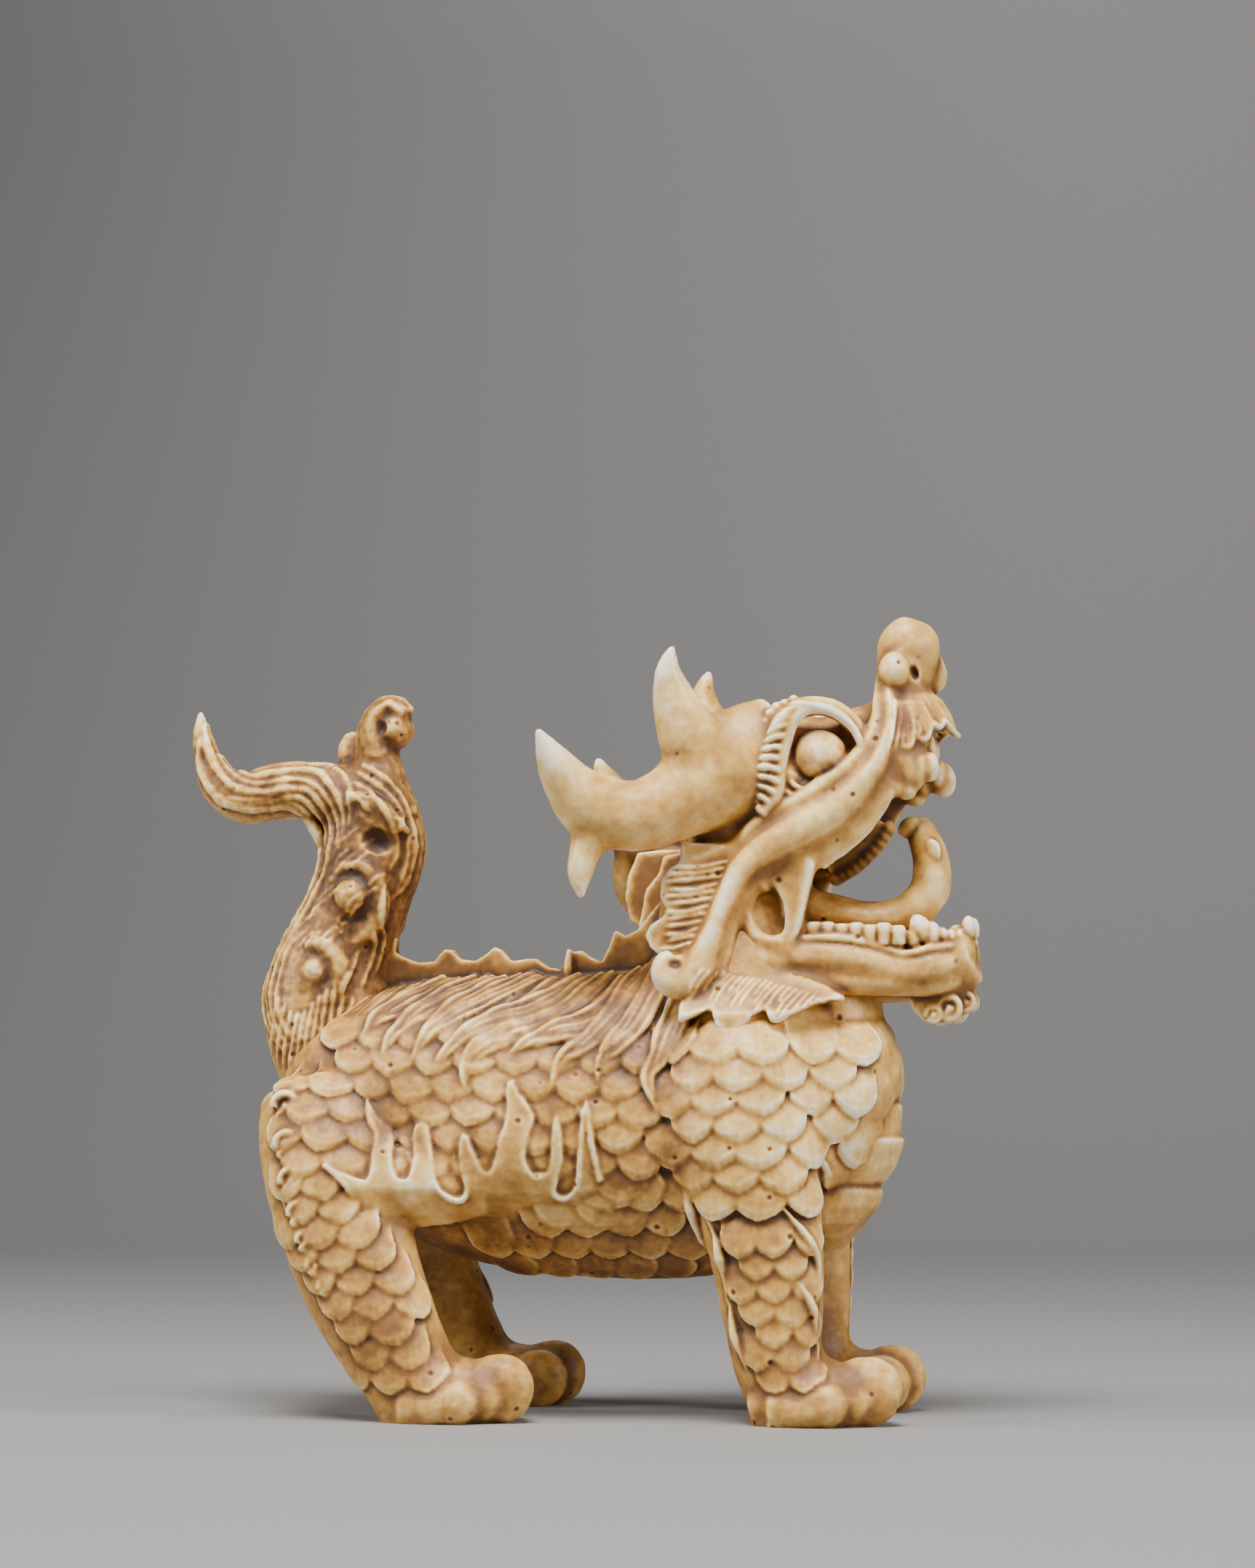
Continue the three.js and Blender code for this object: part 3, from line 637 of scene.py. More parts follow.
# Hair over the back: locks of five strands over a low swelling, that leave the crest and sweep
# down to a curled tip, with short hairs between them. Combed into the clay, cast with the body.
LOCK_STRANDS = 5
LOCK_WIDTH = 4
LOCK_RADIUS = 0.44
SWELLING_RADIUS = 1.5
BACK_HAIRS = 44
BACK_HAIR_RADIUS = 0.27
LOCKS = [
    [(-14, 55.2), (-18, 52.6), (-21, 50.6), (-24, 49), (-25.9, 46.7)],
    [(-9.5, 55.5), (-12.6, 53.5), (-16.3, 51.3), (-19.6, 49), (-21.6, 46.7), (-22.8, 44.1)],
    [(-5.2, 55.5), (-8.2, 53.5), (-12.2, 51.2), (-15.6, 49), (-17.6, 46.4), (-18.9, 43.8)],
    [(1.8, 55.2), (-1, 52), (-4.5, 49.9), (-8.9, 48.6), (-12.2, 47), (-14.6, 44.7), (-16.1, 42.1)],
    [(4.8, 55.4), (2.1, 51.8), (-1.5, 48.7), (-7.5, 46.7), (-10.9, 44.7), (-11.9, 42.4), (-12, 40.2)],
    [(7.4, 55.4), (5.8, 51.2), (3.5, 48.6), (-0.9, 47.3), (-4.2, 46), (-7.2, 43.9)],
    [(9.4, 57), (8, 53.4), (5.8, 48.9), (3.1, 46), (0.2, 43.7), (-1, 40.5)],
    [(12.6, 58), (11, 54), (9.1, 48.8), (6.8, 45.9), (5.1, 43.7), (4.6, 41.1)],
    [(15.4, 54), (14.4, 50.4), (13.1, 46.9), (12.2, 44.1), (11.1, 41.6), (12.3, 37.6)],
]


def lock(path, side):
    """Strands side by side that draw together at the tip, over a low swelling."""
    line = smooth_path(path, 5)
    along = np.gradient(line, axis=0)
    along /= np.linalg.norm(along, axis=1)[:, None]
    across = np.stack([-along[:, 1], along[:, 0]], axis=1)
    share = np.linspace(0, 1, len(line))
    spread = LOCK_WIDTH * (0.55 + 0.45 * np.sin(share * math.pi)) * (1 - share) ** 0.7
    out = []
    for k in range(LOCK_STRANDS):
        place = k / (LOCK_STRANDS - 1) - 0.5
        wave = 0.12 * np.sin(share * 9 + 2 * k + path[0][0])
        end = len(line) - (0 if k == 0 else 1 + 2 * (k % 3))
        strand = line + across * (place * spread + wave)[:, None]
        radius = LOCK_RADIUS * (1.25 if k == 0 else 0.85 + 0.3 * chance.random())
        out.append(strand_on(body_tree, strand[:end], radius, side, 0.3, 1, tip_lift=0.75))
    out.append(strand_on(body_tree, line[:-3], SWELLING_RADIUS, side, -0.5, 1, tip_lift=0.3))
    return out


# Raised folds that run down the legs, and the raised rim of the flames: rolls of clay laid along
# a line and smoothed down, made as strands with the hair.
FOLD_RADIUS = 0.62
RIM_RADIUS = 0.4
RIM_LIFT = 0.86
FOLDS = [
    [(28.6, 36.5), (30, 34.5), (30.9, 32.4), (31.8, 30), (32.6, 26.3), (32.6, 23)],
    [(26.2, 27.6), (28.3, 25.2), (30, 22.6), (31.2, 19.6), (31.2, 16), (31, 12)],
    [(13.8, 34.6), (15.2, 30.6), (16.4, 26), (17.6, 21), (18.6, 16)],
    [(17.8, 25.4), (19.4, 22.8), (20.2, 20), (20.6, 17), (20.6, 14)],
    [(20.8, 15.6), (21.6, 12), (22.4, 9), (23.4, 6)],
    [(27.4, 18.2), (29.4, 16.8), (30.6, 14), (31, 10.6), (31.6, 7.6)],
]

lines = []
for side in (-1, 1):
    for path in LOCKS:
        lines += lock(path, side)
    for path in FOLDS:
        lines.append(strand_on(body_tree, path, FOLD_RADIUS, side, 0.9, taper=(0.1, 0.1), ramp=(1.8, 1.8)))
    for k in range(BACK_HAIRS):
        x = -24.5 + 0.92 * k + 0.3 * chance.random()
        long = 0.75 + 0.5 * chance.random()
        fall = [(x, 55.4), (x - 1.8 * long, 53.2), (x - 4.4 * long, 51 - 0.6 * long),
                (x - 6.8 * long, 49.4 - 1.8 * long)]
        lines.append(strand_on(body_tree, fall, BACK_HAIR_RADIUS, side, 0.0))
    rim = strand_on(body_tree, FLAME, RIM_RADIUS, side, 0, 3, (1, 1))
    lines.append((rim[0], rim[1], [RIM_LIFT] * len(rim[0])))
hair = strands("hair", lines, body_skin)

# The chest plates, the crest and the curls behind the hind legs: solid clay forms set on the body
# and cast with it. The crest is a notched slab, the chest one form stepped like laid plates, and
# a curl is a flat spiral over a low mound.
CREST_THICK = 2.0
CREST_PEG = [(-2, -1.3, 53.2), (-2, -1.2, 56), (-1.9, -1, 58.2, 0.35)]
CHEST_X = 31
CREST = [
    (-29, 52), (-28, 61), (-25.6, 61.4), (-24.4, 59.6), (-24.6, 58), (-23.6, 57.4), (-21.5, 56.6),
    (-19.5, 56.8), (-18.2, 58.4), (-17.3, 58.3), (-16, 57), (-14.2, 56.8), (-12.8, 57.6), (-11.7, 58.6),
    (-10.8, 58.2), (-9.4, 56.8), (-7.6, 57), (-6.2, 57), (-4.6, 55.9), (-3, 55.7), (-1.6, 57.8), (-0.4, 58),
    (0.8, 57.2), (2.2, 56.6), (3.2, 58.4), (3.9, 60.6), (5.4, 59.8), (7, 60.6), (8.4, 62.5), (10.5, 65),
    (14, 66), (14, 52),
]
# The chest's rows: z, half depth and half width.
CHEST = [
    (55.6, 5.8, 6), (52.4, 6.5, 7), (49.6, 6.9, 7.8), (47.6, 7.1, 8.2), (46.8, 7.2, 8.4), (43.4, 7.9, 8.8),
    (42.6, 8.2, 9), (39, 8.7, 8.9), (38.2, 9.1, 9.1), (34.8, 9, 8.8), (34, 9.3, 9), (31.2, 8.4, 8.4),
    (29.4, 7.2, 7.4), (28.6, 6.3, 7), (27.8, 6.6, 7.2), (26.2, 6.2, 7.2), (24.4, 4.8, 6.6), (22.4, 3.2, 5),
    (20.4, 1.2, 2),
]
# The curls: x and z of the middle, and size.
CURLS = [
    (-34.9, 38.4, 1.5), (-34, 33.6, 1.5), (-33.1, 29.2, 1.4), (-32, 25.2, 1.3), (-31, 21.9, 1.1),
    (-29.7, 18.9, 1), (-28.3, 16.3, 0.9),
]


def slab(outline, outer, thick, side):
    """A plate with its outline in the side view, its outer face at a distance from the middle."""
    count = len(outline)
    points = [(x, side * outer(x, z), z) for x, z in outline]
    points += [(x, side * (outer(x, z) - thick), z) for x, z in outline]
    faces = [tuple(range(count)), tuple(range(count, 2 * count))[::-1]]
    faces += [(k, (k + 1) % count, (k + 1) % count + count, k + count) for k in range(count)]
    return np.array(points), faces


def rod(points, radius=1, sides=10, steps=4):
    """A round bar through points, each of which may carry its own radius."""
    return loft([(*p[:3], *([p[3] if len(p) > 3 else radius] * 2)) for p in points], sides, steps)


def curl(x, y, z, size):
    """A flat spiral in the side view over a low mound: one closed rod and one bead."""
    arc = [(x + size * math.cos(a), y, z + size * math.sin(a)) for a in np.linspace(3.4, -2.2, 10)]
    arc += [(x - 0.1 * size, y - 0.1, z - 0.45 * size), (x + 0.25 * size, y - 0.2, z + 0.15 * size)]
    return [rod(arc, 0.4 * size, 10, 2), bead((x, y + 0.7, z), (1.2 * size, 0.9, 1.3 * size), 0, 14)]


solids = [slab(CREST, lambda x, z: CREST_THICK / 2, CREST_THICK, -1), rod(CREST_PEG, 0.6),
          loft([(CHEST_X, 0, z, deep, wide) for z, deep, wide in CHEST], 48, 4)]
for x, z, size in CURLS:
    solids += both(*curl(x, skin_at(body_tree, x + 0.3, z, -1)[0].y - 0.25, z, size))
body_solids = mesh_object("body_solids", solids)

# Casting: one finishing routine for every piece of the figure. It melts the forms of a group into
# one surface, adds the unevenness and the pores of poured resin and the depths that the wash
# follows, and hands the piece over. A large piece is cut in lengths, so none has too many faces.
FINE_VOXEL = 0.2
PIT_DEPTH = 0.3
# Of all the cells of the pores' pattern, those with a lot above this one hold a pore.
LEAST_LOT = 0.72
# A pore's radius as a share of the spacing, and the steps that find fine and broad hollows.
LEAST_PIT = 0.1
LARGEST_PIT = 0.24
FINE_STEPS = 6
BROAD_STEPS = 60
# The cutting boxes are wider and taller than the figure.
BOX_SIDE = 60
BOX_FOOT = -20
BOX_TOP = 120


def carve(piece, cutters, way="DIFFERENCE"):
    """Hollows a closed piece with closed forms, or keeps what lies in them."""
    tool = mesh_object("cutters", cutters)
    cut = piece.modifiers.new("carve", "BOOLEAN")
    cut.operation = way
    cut.solver = "MANIFOLD"
    cut.object = tool
    settle(piece)
    bpy.data.objects.remove(tool)
    return piece


def merge(pieces, name):
    """Gathers several pieces in one object."""
    shells = []
    for piece in pieces:
        co = np.empty(len(piece.data.vertices) * 3)
        piece.data.vertices.foreach_get("co", co)
        shells.append((co.reshape(-1, 3), [tuple(face.vertices) for face in piece.data.polygons]))
        bpy.data.objects.remove(piece)
    return mesh_object(name, shells)


weather_tree, given = node_tree("weathering", Unevenness="Float", Lump_Size="Float", Pit_Depth="Float",
                                Pit_Spacing="Float", Fine_Steps="Int", Broad_Steps="Int")
place = add(weather_tree, "GeometryNodeInputPosition").outputs[0]
out_way = add(weather_tree, "GeometryNodeInputNormal").outputs[0]
lump_scale, pit_scale = [
    add(weather_tree, "ShaderNodeMath", {0: 1.0, 1: given[label]}, operation="DIVIDE").outputs[0]
    for label in ("Lump Size", "Pit Spacing")]
lumps = add(weather_tree, "ShaderNodeTexNoise",
            {"Vector": place, "Scale": lump_scale, "Detail": 3.0}).outputs[0]
lumps = add(weather_tree, "ShaderNodeMath", {0: lumps, 1: 0.5}, operation="SUBTRACT").outputs[0]
lumps = add(weather_tree, "ShaderNodeMath", {0: lumps, 1: given["Unevenness"]},
            operation="MULTIPLY").outputs[0]
cells = add(weather_tree, "ShaderNodeTexVoronoi", {"Vector": place, "Scale": pit_scale}).outputs
lot = add(weather_tree, "ShaderNodeSeparateXYZ", {"Vector": cells["Color"]}).outputs
drawn = add(weather_tree, "ShaderNodeMath", {0: lot["X"], 1: LEAST_LOT},
            operation="GREATER_THAN").outputs[0]
wide = add(weather_tree, "ShaderNodeMapRange",
           {"Value": lot["Y"], "To Min": LEAST_PIT, "To Max": LARGEST_PIT}).outputs[0]
dip = add(weather_tree, "ShaderNodeMapRange",
          {"Value": cells["Distance"], "From Max": wide, "To Min": 1.0, "To Max": 0.0},
          interpolation_type="SMOOTHSTEP").outputs[0]
for factor in (drawn, given["Pit Depth"]):
    dip = add(weather_tree, "ShaderNodeMath", {0: dip, 1: factor}, operation="MULTIPLY").outputs[0]
shift = add(weather_tree, "ShaderNodeMath", {0: lumps, 1: dip}, operation="SUBTRACT").outputs[0]
offset = add(weather_tree, "ShaderNodeVectorMath", {0: out_way, "Scale": shift},
             operation="SCALE").outputs[0]
passed = add(weather_tree, "GeometryNodeSetPosition",
             {"Geometry": given["Geometry"], "Offset": offset}).outputs[0]
for label, steps in (("fine_hollow", "Fine Steps"), ("broad_hollow", "Broad Steps")):
    depth = hollow_depth(weather_tree, place, out_way, given[steps])
    even = add(weather_tree, "GeometryNodeBlurAttribute", {"Value": depth, "Iterations": 1},
               data_type="FLOAT").outputs[0]
    passed = add(weather_tree, "GeometryNodeStoreNamedAttribute",
                 {"Geometry": passed, "Name": label, "Value": even},
                 data_type="FLOAT", domain="POINT").outputs[0]
passed = add(weather_tree, "GeometryNodeStoreNamedAttribute",
             {"Geometry": passed, "Name": "fine_normal", "Value": out_way},
             data_type="FLOAT_VECTOR", domain="POINT").outputs[0]
close_tree(weather_tree, passed, given["Material"])


def finish(whole, triangles, stain_and_shade):
    """Thins a piece, notes its colour zones and painted shade, sets it in metres and hands it over."""
    thin = whole.modifiers.new("thin", "DECIMATE")
    thin.ratio = min(1, triangles / sum(len(face.vertices) - 2 for face in whole.data.polygons))
    settle(whole)
    count = len(whole.data.vertices)
    co = np.empty(count * 3)
    whole.data.vertices.foreach_get("co", co)
    co = co.reshape(-1, 3)
    attribute(whole, "stain_and_shade", "FLOAT", stain_and_shade(co[:, 0], co[:, 1], co[:, 2]))
    co[:, 2] = np.maximum(co[:, 2], 0)
    co[:, 0] += CAD_SHIFT
    whole.data.vertices.foreach_set("co", (co * MM).ravel())
    whole.data.shade_smooth()
    normals = np.empty(count * 3, np.float32)
    whole.data.attributes["fine_normal"].data.foreach_get("vector", normals)
    normals = normals.reshape(-1, 3)
    normals /= np.maximum(np.linalg.norm(normals, axis=1), 1e-6)[:, None]
    whole.data.normals_split_custom_set_from_vertices(normals.tolist())
    whole.data.attributes.remove(whole.data.attributes["fine_normal"])
    whole.data.materials.clear()
    whole.data.materials.append(resin)
    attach(whole, "root")
    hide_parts("lion_statue")


def box_form(low, high):
    """A plain box between two corners, to cut with."""
    corners = [(x, y, z) for z in (low[2], high[2]) for y in (low[1], high[1]) for x in (low[0], high[0])]
    faces = [(0, 2, 3, 1), (4, 5, 7, 6), (0, 1, 5, 4), (2, 6, 7, 3), (0, 4, 6, 2), (1, 3, 7, 5)]
    return np.array(corners), faces


def cast(name, pieces, triangles, stain_and_shade, spans=None, softening=1, uneven=0.3, lump=2.6, pits=2.4):
    """Melts pieces into one surface, weathers it and finishes it, in lengths if it is large."""
    whole = fuse(merge(pieces, name), FINE_VOXEL, softening)
    fill_creases(whole, steps=2, rounds=1)
    run(whole, weather_tree, Unevenness=uneven, Lump_Size=lump, Pit_Depth=PIT_DEPTH, Pit_Spacing=pits,
        Fine_Steps=FINE_STEPS, Broad_Steps=BROAD_STEPS)
    if not spans:
        return finish(whole, triangles, stain_and_shade)
    for label, low, high in spans:
        length = bpy.data.objects.new(name + "_" + label, whole.data.copy())
        bpy.context.scene.collection.objects.link(length)
        carve(length, [box_form((low, -BOX_SIDE, BOX_FOOT), (high, BOX_SIDE, BOX_TOP))], "INTERSECT")
        finish(length, triangles, stain_and_shade)
    bpy.data.objects.remove(whole)


# The body: skin, scales, hair, solid forms and flames cast in one. Its surface is given in three
# lengths that overlap a little, each with its own share of triangles.
BODY_TRIANGLES = 195000
BODY_LENGTHS = [("rear", -60, -12.85), ("middle", -13.15, 12.65), ("front", 12.35, 60)]


def fade(value, low, high):
    """0 below low, 1 above high, smooth between them."""
    share = np.clip((value - low) / (high - low), 0, 1)
    return share * share * (3 - 2 * share)


def body_stain_and_shade(x, y, z):
    """Browner on the spine and low on the legs, paler on flames and chest, with painted shade on the inner
    sides of the legs and under the belly.
    """
    spine = 0.17 * fade(z, 47, 55)
    soles = 0.05 * (1 - fade(z, 6, 16))
    # Painted shade: darker on the inner sides of the legs and between them.
    legs = 0.14 * (1 - fade(np.abs(y), 5, 10)) * (z < 24)
    # Painted shade: darker under the belly.
    under = 0.14 * (1 - fade(z, 21, 26)) * fade(x, -14, -8) * (1 - fade(x, 14, 18))
    sheets = 0.16 * fade(x, -30, -24) * (1 - fade(x, 2, 6)) * fade(z, 23, 25) * (1 - fade(z, 30, 34))
    chest = 0.18 * fade(x, 14, 24) * fade(z, 26, 34)
    return 0.03 + spine + soles + legs + under - sheets - chest


cast("lion_body", [body_skin, scales, hair, body_solids, flame_sheets], BODY_TRIANGLES, body_stain_and_shade,
     BODY_LENGTHS, softening=2)

# The tail: a thick stem with a hooked prong to the rear and a curled tip, carved all over with
# long ridges, and set with snail-like knobs. Cast with the body.
TAIL_TRIANGLES = 150000
TAIL_VOXEL = 0.35
TAIL_STEM = [
    (-33.5, 0, 41.5, 5.8, 7.6), (-34, 0, 46.5, 7.2, 7.6), (-33.9, 0, 52, 8.2, 7),
    (-32.3, 0, 58.5, 7.2, 6.2), (-29.6, 0, 64.8, 6.5, 5.6), (-28, 0, 70.5, 6.7, 5.3),
    (-27.2, 0, 75.5, 5.7, 4.8), (-27, 0, 80.5, 3.4, 3.8), (-27.2, 0, 84, 2.6, 2.6),
]
PRONG = [
    (-28.5, 0, 77, 4.6, 4.3), (-34.5, 0, 78.8, 3.8, 3.9), (-40, 0, 79.1, 3.7, 3.5),
    (-44.8, 0, 78.2, 3.4, 3.3), (-48.2, 0, 79.8, 2.7, 2.7), (-50, 0, 83.2, 1.8, 1.9),
    (-50.9, 0, 87, 1.2, 1.3), (-51, 0, 90, 0.4, 0.4),
]
TAIL_RIDGES = [
    [(-50.6, 86), (-50.9, 83), (-49.9, 80.5), (-47.6, 77.6), (-44.6, 76.6), (-41, 76.6), (-38, 76.6),
     (-35.6, 74.6), (-34.2, 71), (-34.6, 67.5), (-36.2, 63.5), (-38.6, 59), (-40.6, 55), (-41.2, 51.5),
     (-40.4, 48.6), (-38, 45.8), (-35.6, 43.8)],
    [(-50.3, 88), (-49.6, 84.5), (-47.8, 81.4), (-45, 79.2), (-41.5, 78.6), (-38, 79), (-35, 78.4),
     (-33, 75.5), (-32.4, 72), (-33, 68.6), (-34.6, 65), (-36.8, 61), (-38.9, 57), (-39.8, 53),
     (-39.2, 49.5), (-37.4, 46.6), (-35, 44.6)],
    [(-49.8, 88.6), (-48.8, 85), (-46.6, 82.2), (-43.5, 80.8), (-40, 81.1), (-37, 81.5), (-34, 80.8),
     (-31.6, 78), (-30.6, 75), (-31, 71)],
    [(-46.6, 78), (-43.5, 77.6), (-40, 77.8), (-36.5, 77.8), (-34.4, 75.6), (-33.3, 72.8), (-33.8, 69)],
    [(-36, 82.2), (-33, 82), (-30.4, 80), (-29.6, 77), (-29.8, 73.6)],
    [(-28.6, 82), (-25.6, 80.2), (-23.4, 77.6), (-22.2, 74.2), (-21.9, 70.6), (-22.8, 67), (-24.4, 64.4)],
    [(-29.2, 81), (-26.4, 79.3), (-24, 76.9), (-22.7, 73.8), (-22.5, 70.6), (-23.2, 67.4), (-24.2, 65)],
    [(-29.8, 79.8), (-27.2, 78.3), (-25, 76.2), (-23.8, 73.4), (-23.7, 70.2), (-24.6, 68.2)],
    [(-30.2, 78.4), (-28.2, 77.2), (-26.4, 75.4)],
    [(-50.8, 84.6), (-50.4, 81.8), (-48.8, 79.2), (-46.2, 77.3), (-43, 77.1), (-39.6, 77.4), (-36.6, 76.6),
     (-34.9, 74), (-34.2, 70.6), (-35.2, 66.4)],
    [(-49.4, 86.6), (-48.2, 83.2), (-45.8, 80.9), (-42.6, 79.7), (-39.4, 80), (-36, 80), (-33.2, 78),
     (-31.6, 75), (-31.4, 71.6), (-32.4, 68.4)],
    [(-37.6, 62.4), (-39.8, 57.6), (-40.6, 53), (-39.8, 49.2), (-37.8, 46)],
    [(-24.9, 66.4), (-25.2, 62.6), (-25.8, 58.6), (-26.8, 54.6)],
    [(-26.2, 60.6), (-27, 57), (-28.2, 53)],
    [(-28.4, 58), (-29.2, 55), (-30.6, 51.6)],
    [(-35.6, 62.8), (-37.6, 58.4), (-38.8, 54), (-38.4, 50.4), (-36.8, 47.6), (-34.8, 45.4)],
]

# The curled tip, the coils of the knobs and the fold under the tip are rods, with a radius in
# place of two half sizes, and the pad inside the tip has rows like the stem's.
TIP = [
    (-27.4, 0, 80.5, 2.6), (-28.4, 0, 84, 2), (-28.1, 0, 87.4, 1.6), (-26.7, 0, 89.5, 1.4),
    (-24.8, 0, 89.9, 1.2), (-23.2, 0, 88.5, 1.1),
]
TIP_PAD = [
    (-27, 0, 83, 2.4, 3.4), (-27.4, 0, 87, 2, 3.6), (-25.6, 0, 89.6, 1.1, 3.4), (-23.4, 0, 88.6, 0.9, 2.8),
]
UPPER_COIL = [
    (-31.8, -4.8, 66.8, 0.6), (-30.6, -5, 68.3, 0.8), (-28.2, -5.2, 68.8, 1), (-26.2, -4.8, 66.8, 1.2),
    (-25.8, -4.4, 63.8, 1.4), (-26.8, -4.6, 61, 1.3), (-29, -5, 59.2, 0.8),
]
LOWER_COIL = [
    (-35, -5.6, 58.6, 0.8), (-33, -6.2, 59, 1.1), (-30.9, -6, 57, 1.4), (-30.6, -5.8, 54, 1.5),
    (-32.4, -5.8, 51.4, 1.2), (-34.6, -6, 49.6, 0.7),
]
TIP_HEART = ((-24.8, 0, 86.6), (2.2, 3.7, 2.3))
PRONG_KNOT = ((-31.3, 2.4, 84), (1.9, 2.2, 2.8))
UPPER_KNOB = ((-29.2, -5, 65), (2.3, 2.5, 2.4))
LOWER_KNOB = ((-33.6, -5.6, 55.6), (1.9, 2.2, 1.9))
FOLD_PAD = ((-26.2, -4, 75), (3.4, 1.9, 1.9), -30)
TIP_FOLD = [
    (-30, -4.2, 77.6, 0.8), (-27.6, -4.9, 77.2, 1.1), (-25, -4.9, 75.5, 1.2), (-23, -4.2, 73.4, 0.9),
]
# Hollows cut in the tip and under its fold: a bead's centre, half sizes and tilt.
TAIL_HOLLOWS = [
    ((-25.6, -6.1, 71.8), (3.1, 2.1, 1.9), -20), ((-26, -3.9, 86.6), (0.9, 1.2, 1.5), 0),
    ((-25, -4, 87.4), (0.4, 0.9, 0.4), 0), ((-23.9, -3.7, 87.2), (0.4, 0.9, 0.4), 0),
    ((-24.6, -3, 84.2), (0.5, 1.6, 0.45), 0), ((-26.6, -4, 80.4), (0.4, 0.9, 0.35), 0),
]
# The thick ridges, by their places in the list.
THICK_RIDGES = (0, 1, 2, 5)
THICK_RADIUS = 0.72
THIN_RADIUS = 0.55
RIDGE_SINK = -0.38
ROOT_HAIRS = 13
STEM_NICKS = 34

stem_and_prong = mesh_object("tail_form", [loft(TAIL_STEM, 36), loft(PRONG, 24)])
tail_form = fuse(stem_and_prong, FORM_VOXEL, FORM_SOFTENING)
parts = [rod(TIP, sides=20), loft(TIP_PAD, 24), bead(*TIP_HEART), bead(*PRONG_KNOT)]
parts += both(bead(*UPPER_KNOB), bead(*LOWER_KNOB), rod(UPPER_COIL, sides=16), rod(LOWER_COIL, sides=16),
              rod(TIP_FOLD, sides=14), bead(*FOLD_PAD))
tail_skin = fuse(merge([tail_form, mesh_object("tail_parts", parts)], "tail_skin"), TAIL_VOXEL, 2)
fill_creases(tail_skin, steps=6, rounds=2)
carve(tail_skin, both(*(bead(*hollow) for hollow in TAIL_HOLLOWS)))
tail_tree = tree_of(tail_skin)

lines = []
for side in (-1, 1):
    for k, path in enumerate(TAIL_RIDGES):
        radius = THICK_RADIUS if k in THICK_RIDGES else THIN_RADIUS
        lines.append(strand_on(tail_tree, path, radius, side, RIDGE_SINK))
    for k in range(ROOT_HAIRS):
        share = k / (ROOT_HAIRS - 1)
        x = -38.5 + 11.5 * share
        z = 52.5 - 2 * math.sin(7 * share) - 1.5 * share
        fall = [(x, z), (x - 0.6, z - 3.6), (x - 1.6 + 1.4 * share, z - 8)]
        lines.append(strand_on(tail_tree, fall, 0.3 + 0.14 * chance.random(), side, -0.1))
    for k in range(STEM_NICKS):
        x = -36 + 9 * chance.random()
        z = 60 + 18 * chance.random()
        x += 0.35 * (z - 60)
        nick = [(x, z), (x - 1.2, z - 0.8), (x - 2.2, z - 2)]
        lines.append(strand_on(tail_tree, nick, 0.26, side, -0.25))
tail_hair = strands("tail_hair", lines, tail_skin)


def tail_stain(x, y, z):
    """Browner at the front of the stem, above its root."""
    return 0.07 + 0.12 * fade(x, -38, -32) * fade(z, 50, 56)


cast("lion_tail", [tail_skin, tail_hair], TAIL_TRIANGLES, tail_stain, uneven=0.48, lump=1.9, pits=1.8)

# The skull, jaws, nose and horns: the soft clay form of the head, made as the trunk is, with the
# sockets of the eyes and the cups of the ears cut in. The head is cast with the body.
HEAD_TRIANGLES = 198000
HEAD_SOFTENING = 5
SKULL = [
    (17, 0, 72, 6, 7.5), (21.5, 0, 76, 8.4, 9), (27, 0, 79.5, 8.2, 9), (32, 0, 80.8, 6.6, 7.4),
    (37, 0, 83.2, 5.6, 5.8), (41.2, 0, 85, 4.2, 4.6), (43, 0, 85.8, 2.6, 3.6),
]
CHEEK = [(20, 0, 75, 7, 8.2), (21, 0, 68, 7.6, 9), (21.6, 0, 61, 7.4, 9.2), (22, 0, 56, 5.6, 8.8)]
LOWER_JAW = [
    (21, 0, 56.6, 5.4, 9.2), (28, 0, 55.2, 4.6, 8.4), (34, 0, 55, 3.9, 7.3), (40, 0, 55.2, 4, 6.5),
    (45.4, 0, 55.8, 4.4, 5.8), (48.9, 0, 57.3, 3.7, 4.6),
]
NOSE = [
    (38.6, 0, 84, 4.2, 4.6), (39.8, 0, 88, 3.2, 4.3), (40.8, 0, 91.6, 3.5, 3.9), (41.3, 0, 95.4, 4, 4),
    (41.5, 0, 97.6, 3.4, 3.5), (41.6, 0, 98.9, 2.1, 2.2), (41.7, 0, 99.4, 0.8, 0.8),
]
HORN = [
    (25.5, 5, 82, 7.6, 5.4), (19.8, 7.8, 80.2, 6.9, 5.4), (13.2, 10.3, 75.8, 4.9, 4.5),
    (8.3, 12, 74, 4.4, 4.1), (3.6, 13.6, 75.3, 4.3, 3.8), (0.9, 15.3, 78, 3.2, 3),
    (-1, 17.2, 81.4, 1.9, 1.9), (-2.3, 18.8, 84.6, 0.4, 0.4),
]
UPPER_TINE = [
    (17.5, 9.4, 80.5, 5.2, 4.2), (14.9, 10.8, 84.8, 3.9, 3.4), (13.5, 11.8, 88.6, 2.7, 2.6),
    (13, 12.8, 91.8, 1.7, 1.8), (13.7, 13.5, 95.2, 0.4, 0.4),
]
LOWER_TINE = [
    (4.6, 13.4, 73.5, 3.2, 3), (2.9, 14, 70, 2.1, 2), (2.3, 14.7, 66.6, 1.6, 1.6),
    (2.5, 15, 63.4, 0.4, 0.4),
]
CHIN = ((46.2, 0, 52.4), (3, 3.9, 3.4))
EYE_SOCKET = ((31, -11.6, 81.6), (4.4, 4.4, 4.9), 35, 32)
EAR_CUP = ((24.9, -10.2, 62.7), (1.9, 4.2, 2.5))

